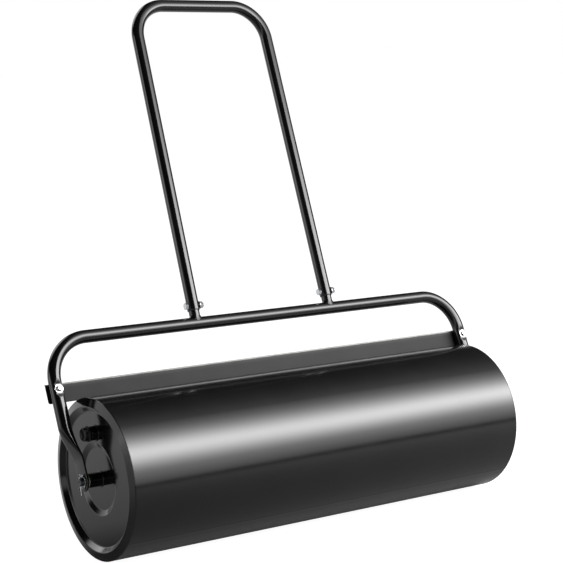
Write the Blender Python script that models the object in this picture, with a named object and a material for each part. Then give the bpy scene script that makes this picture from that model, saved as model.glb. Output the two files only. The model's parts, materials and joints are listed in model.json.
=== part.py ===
"""Lawn roller: a water-filled drum that turns on a fixed axle under a bent tube yoke.

A push handle is bolted to two stubs on the yoke, and a scraper plate is bolted behind its arms.
X runs along the axle, Y points backwards and Z points up. Lengths are in metres, angles in degrees.
The origin is on the ground, under the middle of the whole roller.
"""
import math

import bmesh
import bpy
from mathutils import Vector

# Clearances
GAP = 0.0003
SIDE_PLAY = 0.0005
THREAD_GAP = 0.0004

# Drum
DRUM_RADIUS = 0.1524
DRUM_LENGTH = 0.918
SHELL_WALL = 0.0015
HEAD_WALL = 0.002
RIM_CORNER = 0.005
RIM_STEPS = 4
RIM_WIDTH = 0.0179
STEP_WIDTH = 0.0075
STEP_DEPTH = 0.009
BOSS_STEP_RADIUS = 0.067
BOSS_STEP_WIDTH = 0.007
BOSS_STEP_DEPTH = 0.0055

# Hub and axle
AXLE_RADIUS = 0.008
AXLE_CHAMFER = 0.001
AXLE_PROJECTION = 0.008
BUSH_WALL = 0.0025
BUSH_LENGTH = 0.025
BUSH_FLANGE_WIDTH = 0.0018
BUSH_FLANGE = 0.002
HUB_WALL = 0.0025
THRUST_WASHER_THICKNESS = 0.002
THRUST_WASHER_RADIUS = 0.0145
AXLE_WASHER_THICKNESS = 0.0018
AXLE_WASHER_RADIUS = 0.013

# Split pins
PIN_RADIUS = 0.0014
PIN_EDGE = 0.003
PIN_LEG_GAP = 0.0001
PIN_LOOP_RADIUS = 0.0020
PIN_LOOP_RISE = 0.0035
PIN_FRONT_TAIL = 0.0165
PIN_FRONT_SPLAY = 18.0
PIN_BACK_TAIL = 0.0095
PIN_BACK_SPLAY = 38.0
PIN_LOOP_START = 225.0
PIN_LOOP_END = -45.0
PIN_LOOP_STEPS = 8

# Tubes
TUBE_RADIUS = 0.0127
YOKE_WALL = 0.002
HANDLE_WALL = 0.0015

# Yoke
YOKE_LEAN = 25.0
CROSSBAR_HEIGHT = 0.2716
CORNER_ABOVE_BOLT = 0.014
ARM_CLEARANCE = 0.0208
PADDLE_OFFSET = 0.0036
FLATTEN_START = 0.105
FLATTEN_END = 0.040
FLATTEN_STEPS = 7
OFFSET_START = 0.070
OFFSET_END = 0.035
PADDLE_STEPS = 4

# Scraper and its bolts
SCRAPER_THICKNESS = 0.002
SCRAPER_OVERHANG = 0.0023
SCRAPER_DRUM_GAP = 0.0025
SCRAPER_HEIGHT = 0.0375
SCRAPER_LIP_RADIUS = 0.003
SCRAPER_LIP_END = 100.0
SCRAPER_LIP_STEPS = 4
SCRAPER_BOLT_RISE = 0.0222
SCRAPER_BOLT_RADIUS = 0.003
SCRAPER_HEAD_RADIUS = 0.0053
SCRAPER_HEAD_HEIGHT = 0.0033
SCRAPER_WASHER_RADIUS = 0.0083
SCRAPER_WASHER_THICKNESS = 0.0012
SCRAPER_NUT_FLATS = 0.010
SCRAPER_NUT_HEIGHT = 0.005
DIMPLE_DEPTH = 0.0025
DIMPLE_REACH = 0.020
DIMPLE_SHARES = (-1, -0.8, -0.65, -0.5, 0.5)
DOME_ANGLES = (75, 50, 25, 0)

# Handle, its stubs and its bolts
HANDLE_LEAN = 22.0
HANDLE_HEIGHT = 0.6762
HANDLE_CORNER = 0.0735
LEG_SPACING_FOOT = 0.326
LEG_SPACING_TOP = 0.315
LEG_FOOT = 0.0262
STUB_WALL = 0.003
STUB_LENGTH = 0.062
WELD_HEIGHT = 0.004
WELD_WIDTH = 0.0024
HANDLE_BOLT_HEIGHT = 0.0365
HANDLE_BOLT_RADIUS = 0.004
HANDLE_HEAD_FLATS = 0.013
HANDLE_HEAD_HEIGHT = 0.0053
HANDLE_WASHER_RADIUS = 0.008
HANDLE_WASHER_THICKNESS = 0.0016
HANDLE_NUT_FLATS = 0.013
HANDLE_NUT_HEIGHT = 0.0065
BOLT_END = 0.003
CHAMFER_SHARE = 0.15
CORNER_CUT = 0.9

# Filler
FILLER_RADIUS = 0.087
FILLER_ANGLE = 3.2
NECK_RADIUS = 0.0135
NECK_BORE = 0.0100
NECK_OUTSIDE = 0.0128
NECK_INSIDE = 0.010
SEAL_THICKNESS = 0.0015
SEAL_WIDTH = 0.0024
PLUG_FLANGE_RADIUS = 0.015
PLUG_FLANGE_THICKNESS = 0.0035
PLUG_FLUTE = 0.0009
PLUG_FLUTES = 12
PLUG_KNOB_RADIUS = 0.0127
PLUG_KNOB_HEIGHT = 0.0090
PLUG_KNOB_CHAMFER = 0.0022
PLUG_STEM = 0.016

# Facets
DRUM_SIDES = 48
TUBE_SIDES = 16
BORE_SIDES = 12
SMALL_SIDES = 24
FASTENER_SIDES = 12
WIRE_SIDES = 6
CORNER_STEPS = 8
SMOOTH_ANGLE = 35.0

# Finishes: colour, roughness, metallic
BLACK_PAINT = ((0.012, 0.012, 0.013), 0.25, 0.0)
ZINC_PLATE = ((0.62, 0.63, 0.65), 0.3, 1.0)
DARK_STEEL = ((0.05, 0.05, 0.055), 0.4, 1.0)
NYLON = ((0.72, 0.70, 0.64), 0.5, 0.0)
BLACK_PLASTIC = ((0.015, 0.015, 0.016), 0.5, 0.0)
BLACK_RUBBER = ((0.02, 0.02, 0.02), 0.8, 0.0)

# Places that follow from the sizes above, along X from the middle of the roller
RIM_FACE = DRUM_LENGTH / 2
SHELL_END = RIM_FACE - RIM_CORNER
DISC_FACE = RIM_FACE - STEP_DEPTH
BOSS_FACE = DISC_FACE - BOSS_STEP_DEPTH
ARM_INSIDE = RIM_FACE + ARM_CLEARANCE
ARM_CENTRE = ARM_INSIDE + TUBE_RADIUS
PADDLE_INSIDE = ARM_INSIDE - PADDLE_OFFSET
PADDLE_OUTSIDE = PADDLE_INSIDE + 2 * YOKE_WALL
AXLE_END = PADDLE_OUTSIDE + AXLE_PROJECTION
THRUST_WASHER_OUTSIDE = PADDLE_INSIDE - GAP
BUSH_OUTSIDE = THRUST_WASHER_OUTSIDE - THRUST_WASHER_THICKNESS - SIDE_PLAY
HUB_END = BUSH_OUTSIDE - BUSH_FLANGE - GAP

# Radii that follow, so that each piece seats in the next one
AXLE_BORE = AXLE_RADIUS + GAP
BUSH_RADIUS = AXLE_BORE + BUSH_WALL
HUB_BORE = BUSH_RADIUS + GAP
HUB_RADIUS = HUB_BORE + HUB_WALL
STUB_RADIUS = TUBE_RADIUS - HANDLE_WALL - GAP

# Heights over the axle along the yoke's arms, so that plate, bolts and corner follow the drum
SCRAPER_FRONT = TUBE_RADIUS + GAP
SCRAPER_EDGE = math.sqrt((DRUM_RADIUS + SCRAPER_DRUM_GAP) ** 2 - SCRAPER_FRONT**2)
SCRAPER_BOLT_HEIGHT = SCRAPER_EDGE + SCRAPER_BOLT_RISE
YOKE_CORNER = CROSSBAR_HEIGHT - SCRAPER_BOLT_HEIGHT - CORNER_ABOVE_BOLT

# The axle's place over the ground, with the origin under the middle of the whole roller
LEAN = math.radians(YOKE_LEAN)
PUSH_LEAN = math.radians(HANDLE_LEAN)
BACK_REACH = CROSSBAR_HEIGHT * math.sin(LEAN) + HANDLE_HEIGHT * math.sin(PUSH_LEAN) + TUBE_RADIUS
AXLE_Y = (DRUM_RADIUS - BACK_REACH) / 2
SIDES = (("left", -1), ("right", 1))


def clear_scene():
    """Remove whatever objects the file starts with."""
    for thing in list(bpy.data.objects):
        bpy.data.objects.remove(thing, do_unlink=True)


def finish_material(name, finish):
    """A material of one colour, roughness and metallic value."""
    colour, roughness, metallic = finish
    material = bpy.data.materials.new(name)
    material.use_nodes = True
    shader = material.node_tree.nodes["Principled BSDF"]
    shader.inputs["Base Color"].default_value = (*colour, 1.0)
    shader.inputs["Roughness"].default_value = roughness
    shader.inputs["Metallic"].default_value = metallic
    return material


def add_frame(name, parent=None, location=(0, 0, 0), tilt=0.0, cant=0.0):
    """An empty that carries pieces; tilt turns it about X and cant about Y, in radians."""
    frame = bpy.data.objects.new(name, None)
    bpy.context.collection.objects.link(frame)
    frame.parent = parent
    frame.location = location
    frame.rotation_euler = (tilt, cant, 0)
    return frame


def add_piece(name, mesh, finish, parent, location=(0, 0, 0), rotation=(0, 0, 0)):
    """A sub-part in its own material, placed in the frame that carries it."""
    piece = bpy.data.objects.new(name, mesh)
    bpy.context.collection.objects.link(piece)
    piece.parent = parent
    piece.location = location
    piece.rotation_euler = rotation
    mesh.materials.append(finish_material(name + "_finish", finish))
    mesh.shade_smooth()
    mesh.set_sharp_from_angle(angle=math.radians(SMOOTH_ANGLE))
    return piece


def turn(sign):
    """The turn about Z that points a right-hand piece to its own side."""
    return 0.0 if sign > 0 else math.pi


def cut(piece, name, mesh, location=(0, 0, 0), rotation=(0, 0, 0)):
    """Cut a hole in a piece with a hidden cutter in the same frame."""
    cutter = bpy.data.objects.new(name, mesh)
    bpy.context.collection.objects.link(cutter)
    cutter.parent = piece.parent
    cutter.location = location
    cutter.rotation_euler = rotation
    cutter.hide_render = True
    cutter.display_type = "WIRE"
    boolean = piece.modifiers.new(name, "BOOLEAN")
    boolean.operation = "DIFFERENCE"
    boolean.object = cutter


def lofted(name, rings, closed=False):
    """A closed mesh through rings of points: capped at both ends, or with the last joined to the first."""
    shape = bmesh.new()
    loops = [[shape.verts.new(point) for point in ring] for ring in rings]
    pairs = list(zip(loops, loops[1:]))
    if closed:
        pairs.append((loops[-1], loops[0]))
    else:
        shape.faces.new(loops[0])
        shape.faces.new(loops[-1])
    for first, second in pairs:
        for here in range(len(first)):
            after = (here + 1) % len(first)
            shape.faces.new((first[here], first[after], second[after], second[here]))
    bmesh.ops.recalc_face_normals(shape, faces=shape.faces)
    mesh = bpy.data.meshes.new(name)
    shape.to_mesh(mesh)
    shape.free()
    return mesh


def ring_about_x(x, radius_at, sides, phase=0.0):
    """A ring round the X axis whose radius is a function of the angle from straight up."""
    angles = [2 * math.pi * (step + phase) / sides for step in range(sides)]
    return [Vector((x, radius_at(a) * math.sin(a), radius_at(a) * math.cos(a))) for a in angles]


def round_ring(x, radius, sides):
    """A circle round the X axis."""
    return ring_about_x(x, lambda angle: radius, sides)


def hexagon_ring(x, flats, corner_limit=1.0):
    """A hexagon round the X axis, its corners cut back to a share of their radius."""
    limit = corner_limit * flats / math.sqrt(3)

    def radius_at(angle):
        off_flat = (angle + math.pi / 6) % (math.pi / 3) - math.pi / 6
        return min(flats / 2 / math.cos(off_flat), limit)

    return ring_about_x(x, radius_at, FASTENER_SIDES)


def fluted_ring(x, radius, depth):
    """A circle round the X axis with finger grooves pressed into it."""
    return ring_about_x(
        x,
        lambda angle: radius - depth * (1 - math.cos(PLUG_FLUTES * angle)) / 2,
        2 * SMALL_SIDES,
    )


def turned(name, profile, sides, closed=False):
    """A piece turned about X from (x, radius) points; a closed profile makes a ring with a bore."""
    return lofted(name, [round_ring(x, radius, sides) for x, radius in profile], closed)


def flat_washer(name, inside, thickness, bore, radius, sides=SMALL_SIDES):
    """A plain ring from x = inside outwards."""
    outside = inside + thickness
    profile = [(inside, bore), (inside, radius), (outside, radius), (outside, bore)]
    return turned(name, profile, sides, closed=True)


def hexagon_nut(name, inside, height, flats, bore):
    """A hexagon nut with chamfered corners, from x = inside outwards."""
    chamfer = CHAMFER_SHARE * height
    rings = [
        round_ring(inside, bore, FASTENER_SIDES),
        hexagon_ring(inside, flats, CORNER_CUT),
        hexagon_ring(inside + chamfer, flats),
        hexagon_ring(inside + height - chamfer, flats),
        hexagon_ring(inside + height, flats, CORNER_CUT),
        round_ring(inside + height, bore, FASTENER_SIDES),
    ]
    return lofted(name, rings, closed=True)


def drill(name, radius, start, end):
    """A round cutter along X, with its first corner half a side away from straight up."""
    rings = [ring_about_x(x, lambda angle: radius, SMALL_SIDES, phase=0.5) for x in (start, end)]
    return lofted(name, rings)


def arc(centre, radius, start, end, steps):
    """Points of an arc in a plane, with angles in degrees from the plane's first axis."""
    angles = [math.radians(start + (end - start) * step / steps) for step in range(steps + 1)]
    return [(centre[0] + radius * math.cos(a), centre[1] + radius * math.sin(a)) for a in angles]


def smooth_step(value):
    """Ease from 0 to 1."""
    value = min(max(value, 0.0), 1.0)
    return value * value * (3 - 2 * value)


def falling(height, start, end):
    """Ease from 0 at the height start to 1 at the lower height end."""
    return smooth_step((start - height) / (start - end))


# Yoke: an inverted U of tube whose ends are pressed flat for the axle


def pressed_thickness(height):
    """Half the arm's thickness along X: the tube's radius, then two walls pressed together."""
    return TUBE_RADIUS - (TUBE_RADIUS - YOKE_WALL) * falling(height, FLATTEN_START, FLATTEN_END)


def pressed_width(half_thickness):
    """Half the arm's width: a pressed tube keeps its girth."""
    return half_thickness + (TUBE_RADIUS - half_thickness) * math.pi / 2


PADDLE_RADIUS = pressed_width(YOKE_WALL)


def arm_front(height, shrink):
    """How far forward the tube reaches at a height: it is pressed in round the scraper bolt."""
    dimple = DIMPLE_DEPTH * smooth_step(2 - 2 * abs(height - SCRAPER_BOLT_HEIGHT) / DIMPLE_REACH)
    return -(TUBE_RADIUS - dimple - shrink) if dimple > 0 else -math.inf


def arm_ring(height, shrink, sides):
    """The left arm's outline at a height over the axle: a circle, or flat sides with round ends."""
    half_thickness = pressed_thickness(height)
    inside = ARM_INSIDE - PADDLE_OFFSET * falling(height, OFFSET_START, OFFSET_END)
    centre = -(inside + half_thickness)
    half_width = pressed_width(half_thickness)
    if height < 0:
        half_width = math.sqrt(PADDLE_RADIUS**2 - height**2)
    bend = half_thickness - shrink
    straight = half_width - half_thickness
    front = arm_front(height, shrink)
    ring = []
    for step in range(sides):
        angle = 2 * math.pi * (step + 0.5) / sides
        across = bend * math.sin(angle) + math.copysign(straight, math.sin(angle))
        ring.append(Vector((centre - bend * math.cos(angle), max(across, front), height)))
    return ring


def corner_ring(angle, shrink, sides):
    """The tube's outline on the left corner, where angle runs from the arm to the crossbar."""
    outward = Vector((-math.cos(angle), 0, math.sin(angle)))
    centre = Vector((YOKE_CORNER - ARM_CENTRE, 0, CROSSBAR_HEIGHT - YOKE_CORNER)) + outward * YOKE_CORNER
    radius = TUBE_RADIUS - shrink
    front = arm_front(centre.z, shrink)
    ring = []
    for step in range(sides):
        around = 2 * math.pi * (step + 0.5) / sides
        across = max(radius * math.sin(around), front)
        ring.append(centre + outward * (radius * math.cos(around)) + Vector((0, across, 0)))
    return ring


def arm_heights():
    """Heights of the arm's outlines: the round end, the pressed part and the dimple."""
    last = math.acos(YOKE_WALL / PADDLE_RADIUS)
    round_end = [-PADDLE_RADIUS * math.sin(last * step / PADDLE_STEPS) for step in range(PADDLE_STEPS, 0, -1)]
    fall = (FLATTEN_START - FLATTEN_END) / FLATTEN_STEPS
    pressed = [FLATTEN_END + fall * step for step in range(FLATTEN_STEPS + 1)]
    dimpled = [SCRAPER_BOLT_HEIGHT + DIMPLE_REACH * share for share in DIMPLE_SHARES]
    return round_end + [0.0, OFFSET_END] + pressed + dimpled


def yoke_rings(shrink, sides):
    """Outlines from the left paddle over the crossbar to the right paddle."""
    heights = [h for h in arm_heights() if pressed_thickness(h) - shrink > YOKE_WALL / 4]
    half = [arm_ring(height, shrink, sides) for height in heights]
    for step in range(CORNER_STEPS + 1):
        half.append(corner_ring(math.pi / 2 * step / CORNER_STEPS, shrink, sides))
    mirrored = [[Vector((-p.x, p.y, p.z)) for p in ring] for ring in reversed(half)]
    return half + mirrored


def build_yoke(yoke_frame):
    """The yoke, bored hollow, with holes for the axle and the scraper's bolts."""
    yoke = add_piece("yoke", lofted("yoke", yoke_rings(0, TUBE_SIDES)), BLACK_PAINT, yoke_frame)
    cut(yoke, "yoke_bore", lofted("yoke_bore", yoke_rings(YOKE_WALL, BORE_SIDES)))
    for side, sign in SIDES:
        axle_hole = drill("axle_hole", AXLE_BORE, ARM_INSIDE - TUBE_RADIUS, ARM_INSIDE + 2 * TUBE_RADIUS)
        cut(yoke, "axle_hole_" + side, axle_hole, rotation=(0, 0, turn(sign)))
        bolt_hole = drill("bolt_hole", SCRAPER_BOLT_RADIUS + GAP, -2 * TUBE_RADIUS, 2 * TUBE_RADIUS)
        place = (sign * ARM_CENTRE, 0, SCRAPER_BOLT_HEIGHT)
        cut(yoke, "scraper_bolt_hole_" + side, bolt_hole, place, (0, 0, math.pi / 2))


# Drum: a shell between two pressed heads, on a hub tube


def head_outline():
    """The head's cross-section as (x, radius): its outer face from rim to hub, then its inner face."""
    rim_centre = (SHELL_END, DRUM_RADIUS - RIM_CORNER)
    rim = arc(rim_centre, RIM_CORNER, 90, 0, RIM_STEPS)
    inner_rim = arc(rim_centre, RIM_CORNER - HEAD_WALL, 0, 90, RIM_STEPS // 2)
    step_top = DRUM_RADIUS - RIM_WIDTH
    dish = [
        (RIM_FACE, step_top),
        (DISC_FACE, step_top - STEP_WIDTH),
        (DISC_FACE, BOSS_STEP_RADIUS),
        (BOSS_FACE, BOSS_STEP_RADIUS - BOSS_STEP_WIDTH),
        (BOSS_FACE, HUB_RADIUS + GAP),
    ]
    behind = [(x - HEAD_WALL, radius) for x, radius in reversed(dish)]
    return rim + dish + behind + inner_rim


def build_drum(drum_frame):
    """The drum's shell, its two heads and the hub tube through them."""
    shell_end = SHELL_END - GAP
    shell_outline = [
        (-shell_end, DRUM_RADIUS - SHELL_WALL),
        (-shell_end, DRUM_RADIUS),
        (shell_end, DRUM_RADIUS),
        (shell_end, DRUM_RADIUS - SHELL_WALL),
    ]
    shell = turned("drum_shell", shell_outline, DRUM_SIDES, closed=True)
    add_piece("drum_shell", shell, BLACK_PAINT, drum_frame)
    hub_outline = [(-HUB_END, HUB_BORE), (-HUB_END, HUB_RADIUS), (HUB_END, HUB_RADIUS), (HUB_END, HUB_BORE)]
    hub = turned("hub_tube", hub_outline, SMALL_SIDES, closed=True)
    add_piece("hub_tube", hub, BLACK_PAINT, drum_frame)
    heads = {}
    for side, sign in SIDES:
        head = turned("head_" + side, head_outline(), DRUM_SIDES, closed=True)
        heads[side] = add_piece("head_" + side, head, BLACK_PAINT, drum_frame, rotation=(0, 0, turn(sign)))
        bush = add_piece("hub_bush_" + side, bush_mesh(side), NYLON, drum_frame)
        bush.rotation_euler.z = turn(sign)
    hole = drill("filler_hole", NECK_RADIUS + GAP, -NECK_INSIDE, NECK_OUTSIDE)
    cut(heads["left"], "filler_hole", hole, filler_place(), (0, 0, turn(-1)))


def bush_mesh(side):
    """A flanged bush in the end of the hub tube."""
    flange_inside = BUSH_OUTSIDE - BUSH_FLANGE
    outline = [
        (BUSH_OUTSIDE - BUSH_LENGTH, AXLE_BORE),
        (BUSH_OUTSIDE - BUSH_LENGTH, BUSH_RADIUS),
        (flange_inside, BUSH_RADIUS),
        (flange_inside, BUSH_RADIUS + BUSH_FLANGE_WIDTH),
        (BUSH_OUTSIDE, BUSH_RADIUS + BUSH_FLANGE_WIDTH),
        (BUSH_OUTSIDE, AXLE_BORE),
    ]
    return turned("hub_bush_" + side, outline, SMALL_SIDES, closed=True)


# Filler: a neck in the left head, closed by a screw plug


def filler_place():
    """The filler's axis on the left head's face, in the drum's frame."""
    angle = math.radians(FILLER_ANGLE)
    return (-DISC_FACE, FILLER_RADIUS * math.sin(angle), FILLER_RADIUS * math.cos(angle))


def build_filler(drum_frame):
    """The neck, the seal on its end and the plug, all pointing outwards along X."""
    inside = -HEAD_WALL - NECK_INSIDE
    seal_inside = NECK_OUTSIDE + GAP
    flange_inside = seal_inside + SEAL_THICKNESS + GAP
    neck_outline = [
        (inside, NECK_BORE),
        (inside, NECK_RADIUS),
        (NECK_OUTSIDE, NECK_RADIUS),
        (NECK_OUTSIDE, NECK_BORE),
    ]
    neck = turned("filler_neck", neck_outline, SMALL_SIDES, closed=True)
    seal_radius = NECK_BORE + SEAL_WIDTH
    seal = flat_washer("plug_seal", seal_inside, SEAL_THICKNESS, NECK_BORE, seal_radius)
    for piece, mesh, finish in (
        ("filler_neck", neck, BLACK_PAINT),
        ("plug_seal", seal, BLACK_RUBBER),
        ("filler_plug", plug_mesh(flange_inside), BLACK_PLASTIC),
    ):
        add_piece(piece, mesh, finish, drum_frame, filler_place(), (0, 0, turn(-1)))


def plug_mesh(flange_inside):
    """The plug: a threaded stem, a fluted flange and a round knob with a chamfer."""
    sides = 2 * SMALL_SIDES
    stem = NECK_BORE - THREAD_GAP
    flange_outside = flange_inside + PLUG_FLANGE_THICKNESS
    tip = flange_outside + PLUG_KNOB_HEIGHT
    rings = [
        round_ring(flange_inside - PLUG_STEM, stem - THREAD_GAP, sides),
        round_ring(flange_inside - PLUG_STEM + THREAD_GAP, stem, sides),
        round_ring(flange_inside, stem, sides),
        fluted_ring(flange_inside, PLUG_FLANGE_RADIUS, PLUG_FLUTE),
        fluted_ring(flange_outside, PLUG_FLANGE_RADIUS, PLUG_FLUTE),
        round_ring(flange_outside, PLUG_KNOB_RADIUS, sides),
        round_ring(tip - PLUG_KNOB_CHAMFER, PLUG_KNOB_RADIUS, sides),
        round_ring(tip, PLUG_KNOB_RADIUS - PLUG_KNOB_CHAMFER, sides),
    ]
    return lofted("filler_plug", rings)


# Axle, its washers and its split pins


def build_axle(axle_frame):
    """The axle through both paddles, with a washer and a split pin at each end."""
    shoulder = AXLE_END - AXLE_CHAMFER
    outline = [
        (-AXLE_END, AXLE_RADIUS - AXLE_CHAMFER),
        (-shoulder, AXLE_RADIUS),
        (shoulder, AXLE_RADIUS),
        (AXLE_END, AXLE_RADIUS - AXLE_CHAMFER),
    ]
    axle = add_piece("axle", turned("axle", outline, SMALL_SIDES), DARK_STEEL, axle_frame)
    pin_place = AXLE_END - PIN_EDGE
    for side, sign in SIDES:
        hole = drill("pin_hole", PIN_RADIUS + GAP, -2 * AXLE_RADIUS, 2 * AXLE_RADIUS)
        cut(axle, "pin_hole_" + side, hole, (sign * pin_place, 0, 0), (0, math.pi / 2, 0))
        thrust_inside = THRUST_WASHER_OUTSIDE - THRUST_WASHER_THICKNESS
        washers = (
            ("thrust_washer_", thrust_inside, THRUST_WASHER_THICKNESS, THRUST_WASHER_RADIUS),
            ("axle_washer_", PADDLE_OUTSIDE + GAP, AXLE_WASHER_THICKNESS, AXLE_WASHER_RADIUS),
        )
        for kind, inside, thickness, radius in washers:
            washer = flat_washer(kind + side, inside, thickness, AXLE_BORE, radius)
            add_piece(kind + side, washer, ZINC_PLATE, axle_frame, rotation=(0, 0, turn(sign)))
        pin = lofted("cotter_pin_" + side, pin_rings())
        add_piece("cotter_pin_" + side, pin, ZINC_PLATE, axle_frame, (sign * pin_place, 0, 0))


def pin_path():
    """The split pin's inner line as (y, z) points: up one leg, round the loop and down the other."""
    loop_centre = (0, AXLE_RADIUS + PIN_LOOP_RISE)
    loop = arc(loop_centre, PIN_LOOP_RADIUS, PIN_LOOP_START, PIN_LOOP_END, PIN_LOOP_STEPS)
    front = pin_leg(-1, PIN_FRONT_TAIL, math.radians(PIN_FRONT_SPLAY))
    back = pin_leg(1, PIN_BACK_TAIL, math.radians(PIN_BACK_SPLAY))
    return front + loop + back[::-1]


def pin_leg(sign, tail, splay):
    """One leg from its splayed tip to the top of the axle, as (y, z) points."""
    below = -AXLE_RADIUS - GAP
    inner = sign * PIN_LEG_GAP
    tip = (inner + sign * tail * math.sin(splay), below - tail * math.cos(splay))
    return [tip, (inner, below), (inner, AXLE_RADIUS + GAP)]


def pin_rings():
    """Half-round wire along the pin's path, its flat side facing the other leg."""
    path = [Vector(point) for point in pin_path()]
    rings = []
    for index, point in enumerate(path):
        before = path[max(index - 1, 0)]
        after = path[min(index + 1, len(path) - 1)]
        along = (after - before).normalized()
        outward = Vector((-along.y, along.x))
        ring = []
        for step in range(WIRE_SIDES + 1):
            angle = math.pi * (step / WIRE_SIDES - 0.5)
            place = point + outward * (PIN_RADIUS - PIN_LEG_GAP) * math.cos(angle)
            ring.append(Vector((PIN_RADIUS * math.sin(angle), place.x, place.y)))
        rings.append(ring)
    return rings


# Scraper: one plate behind both arms, with a bolt through each arm


def scraper_line():
    """The scraper's front face as (y, z) points in the yoke's frame, from its edge to its lip."""
    lip_centre = (SCRAPER_FRONT + SCRAPER_LIP_RADIUS, SCRAPER_EDGE + SCRAPER_HEIGHT - SCRAPER_LIP_RADIUS)
    lip = arc(lip_centre, SCRAPER_LIP_RADIUS, 180, SCRAPER_LIP_END, SCRAPER_LIP_STEPS)
    return [(SCRAPER_FRONT, SCRAPER_EDGE)] + lip


def build_scraper(yoke_frame):
    """The plate, straight across behind the arms and rolled back at its top."""
    half = ARM_CENTRE + TUBE_RADIUS + SCRAPER_OVERHANG
    front = [Vector(point) for point in scraper_line()]
    back = []
    for index, point in enumerate(front):
        before = front[max(index - 1, 0)]
        after = front[min(index + 1, len(front) - 1)]
        along = (after - before).normalized()
        back.append(point + Vector((along.y, -along.x)) * SCRAPER_THICKNESS)
    outline = front + back[::-1]
    rings = [[Vector((x, point.x, point.y)) for point in outline] for x in (-half, half)]
    plate = add_piece("scraper_plate", lofted("scraper_plate", rings), BLACK_PAINT, yoke_frame)
    for side, sign in SIDES:
        hole = drill("plate_hole", SCRAPER_BOLT_RADIUS + GAP, 0, 3 * TUBE_RADIUS)
        place = (sign * ARM_CENTRE, 0, SCRAPER_BOLT_HEIGHT)
        cut(plate, "plate_hole_" + side, hole, place, (0, 0, math.pi / 2))
        build_scraper_bolt(side, place, yoke_frame)


def build_scraper_bolt(side, place, yoke_frame):
    """A dome-head bolt from the front of an arm, with its washer in the dimple and its nut behind."""
    washer_face = -(TUBE_RADIUS - DIMPLE_DEPTH) - GAP
    washer_front = washer_face - SCRAPER_WASHER_THICKNESS
    head_back = washer_front - GAP
    nut_front = SCRAPER_FRONT + SCRAPER_THICKNESS + GAP
    bolt_end = nut_front + SCRAPER_NUT_HEIGHT + BOLT_END
    dome = [
        (head_back - SCRAPER_HEAD_HEIGHT * math.sin(math.radians(t)), SCRAPER_HEAD_RADIUS * math.cos(math.radians(t)))
        for t in DOME_ANGLES
    ]
    outline = dome + [(head_back, SCRAPER_BOLT_RADIUS), (bolt_end, SCRAPER_BOLT_RADIUS)]
    bore = SCRAPER_BOLT_RADIUS + GAP
    bolt = turned("scraper_bolt", outline, FASTENER_SIDES)
    washer = flat_washer(
        "scraper_washer", washer_front, SCRAPER_WASHER_THICKNESS, bore, SCRAPER_WASHER_RADIUS, FASTENER_SIDES
    )
    nut = hexagon_nut("scraper_nut", nut_front, SCRAPER_NUT_HEIGHT, SCRAPER_NUT_FLATS, bore)
    for kind, mesh in (("scraper_bolt_", bolt), ("scraper_washer_", washer), ("scraper_nut_", nut)):
        add_piece(kind + side, mesh, ZINC_PLATE, yoke_frame, place, (0, 0, math.pi / 2))


# Handle: a U of tube over two stubs on the crossbar


def handle_line():
    """The handle's centre line as (x, z) points from the left foot to the right, with round corners."""
    lean_in = math.atan2((LEG_SPACING_FOOT - LEG_SPACING_TOP) / 2, HANDLE_HEIGHT)
    foot = Vector((-LEG_SPACING_FOOT / 2 + LEG_FOOT * math.tan(lean_in), LEG_FOOT))
    corner = Vector((-LEG_SPACING_TOP / 2, HANDLE_HEIGHT))
    centre_x = corner.x + HANDLE_CORNER * (1 - math.sin(lean_in)) / math.cos(lean_in)
    start = 180 - math.degrees(lean_in)
    bend = arc((centre_x, HANDLE_HEIGHT - HANDLE_CORNER), HANDLE_CORNER, start, 90, CORNER_STEPS)
    left = [(foot.x, foot.y)] + bend
    return left + [(-x, z) for x, z in reversed(left)]


def tube_ring(line, index, radius, sides):
    """The tube's outline at one point of a line in the XZ plane."""
    before = Vector(line[max(index - 1, 0)])
    here = Vector(line[index])
    after = Vector(line[min(index + 1, len(line) - 1)])
    arrive = (here - before).normalized()
    leave = (after - here).normalized()
    along = (arrive + leave).normalized()
    stretch = 1 / max(along.dot(leave), along.dot(arrive))
    outward = Vector((-along.y, along.x)) * radius * stretch
    ring = []
    for step in range(sides):
        angle = 2 * math.pi * (step + 0.5) / sides
        place = here + outward * math.cos(angle)
        ring.append(Vector((place.x, radius * math.sin(angle), place.y)))
    return ring


def build_handle(handle_frame):
    """The handle with its bolt holes, and a stub and a bolt set under each leg."""
    line = handle_line()
    places = range(len(line))
    outer = [tube_ring(line, index, TUBE_RADIUS, TUBE_SIDES) for index in places]
    inner = [tube_ring(line, index, TUBE_RADIUS - HANDLE_WALL, TUBE_SIDES) for index in reversed(places)]
    handle = add_piece("handle", lofted("handle", outer + inner, closed=True), BLACK_PAINT, handle_frame)
    lean_in = math.atan2((LEG_SPACING_FOOT - LEG_SPACING_TOP) / 2, HANDLE_HEIGHT)
    for side, sign in SIDES:
        foot = (sign * LEG_SPACING_FOOT / 2, 0, 0)
        leg_frame = add_frame("leg_" + side, handle_frame, foot, cant=-sign * lean_in)
        along = Vector((-sign * math.sin(lean_in), 0, math.cos(lean_in)))
        hole = drill("leg_hole", HANDLE_BOLT_RADIUS + GAP, -2 * TUBE_RADIUS, 2 * TUBE_RADIUS)
        place = Vector(foot) + along * HANDLE_BOLT_HEIGHT
        cut(handle, "leg_hole_" + side, hole, place, (0, -sign * lean_in, 0))
        build_stub(side, leg_frame)
        build_handle_bolt(side, leg_frame)


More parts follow.
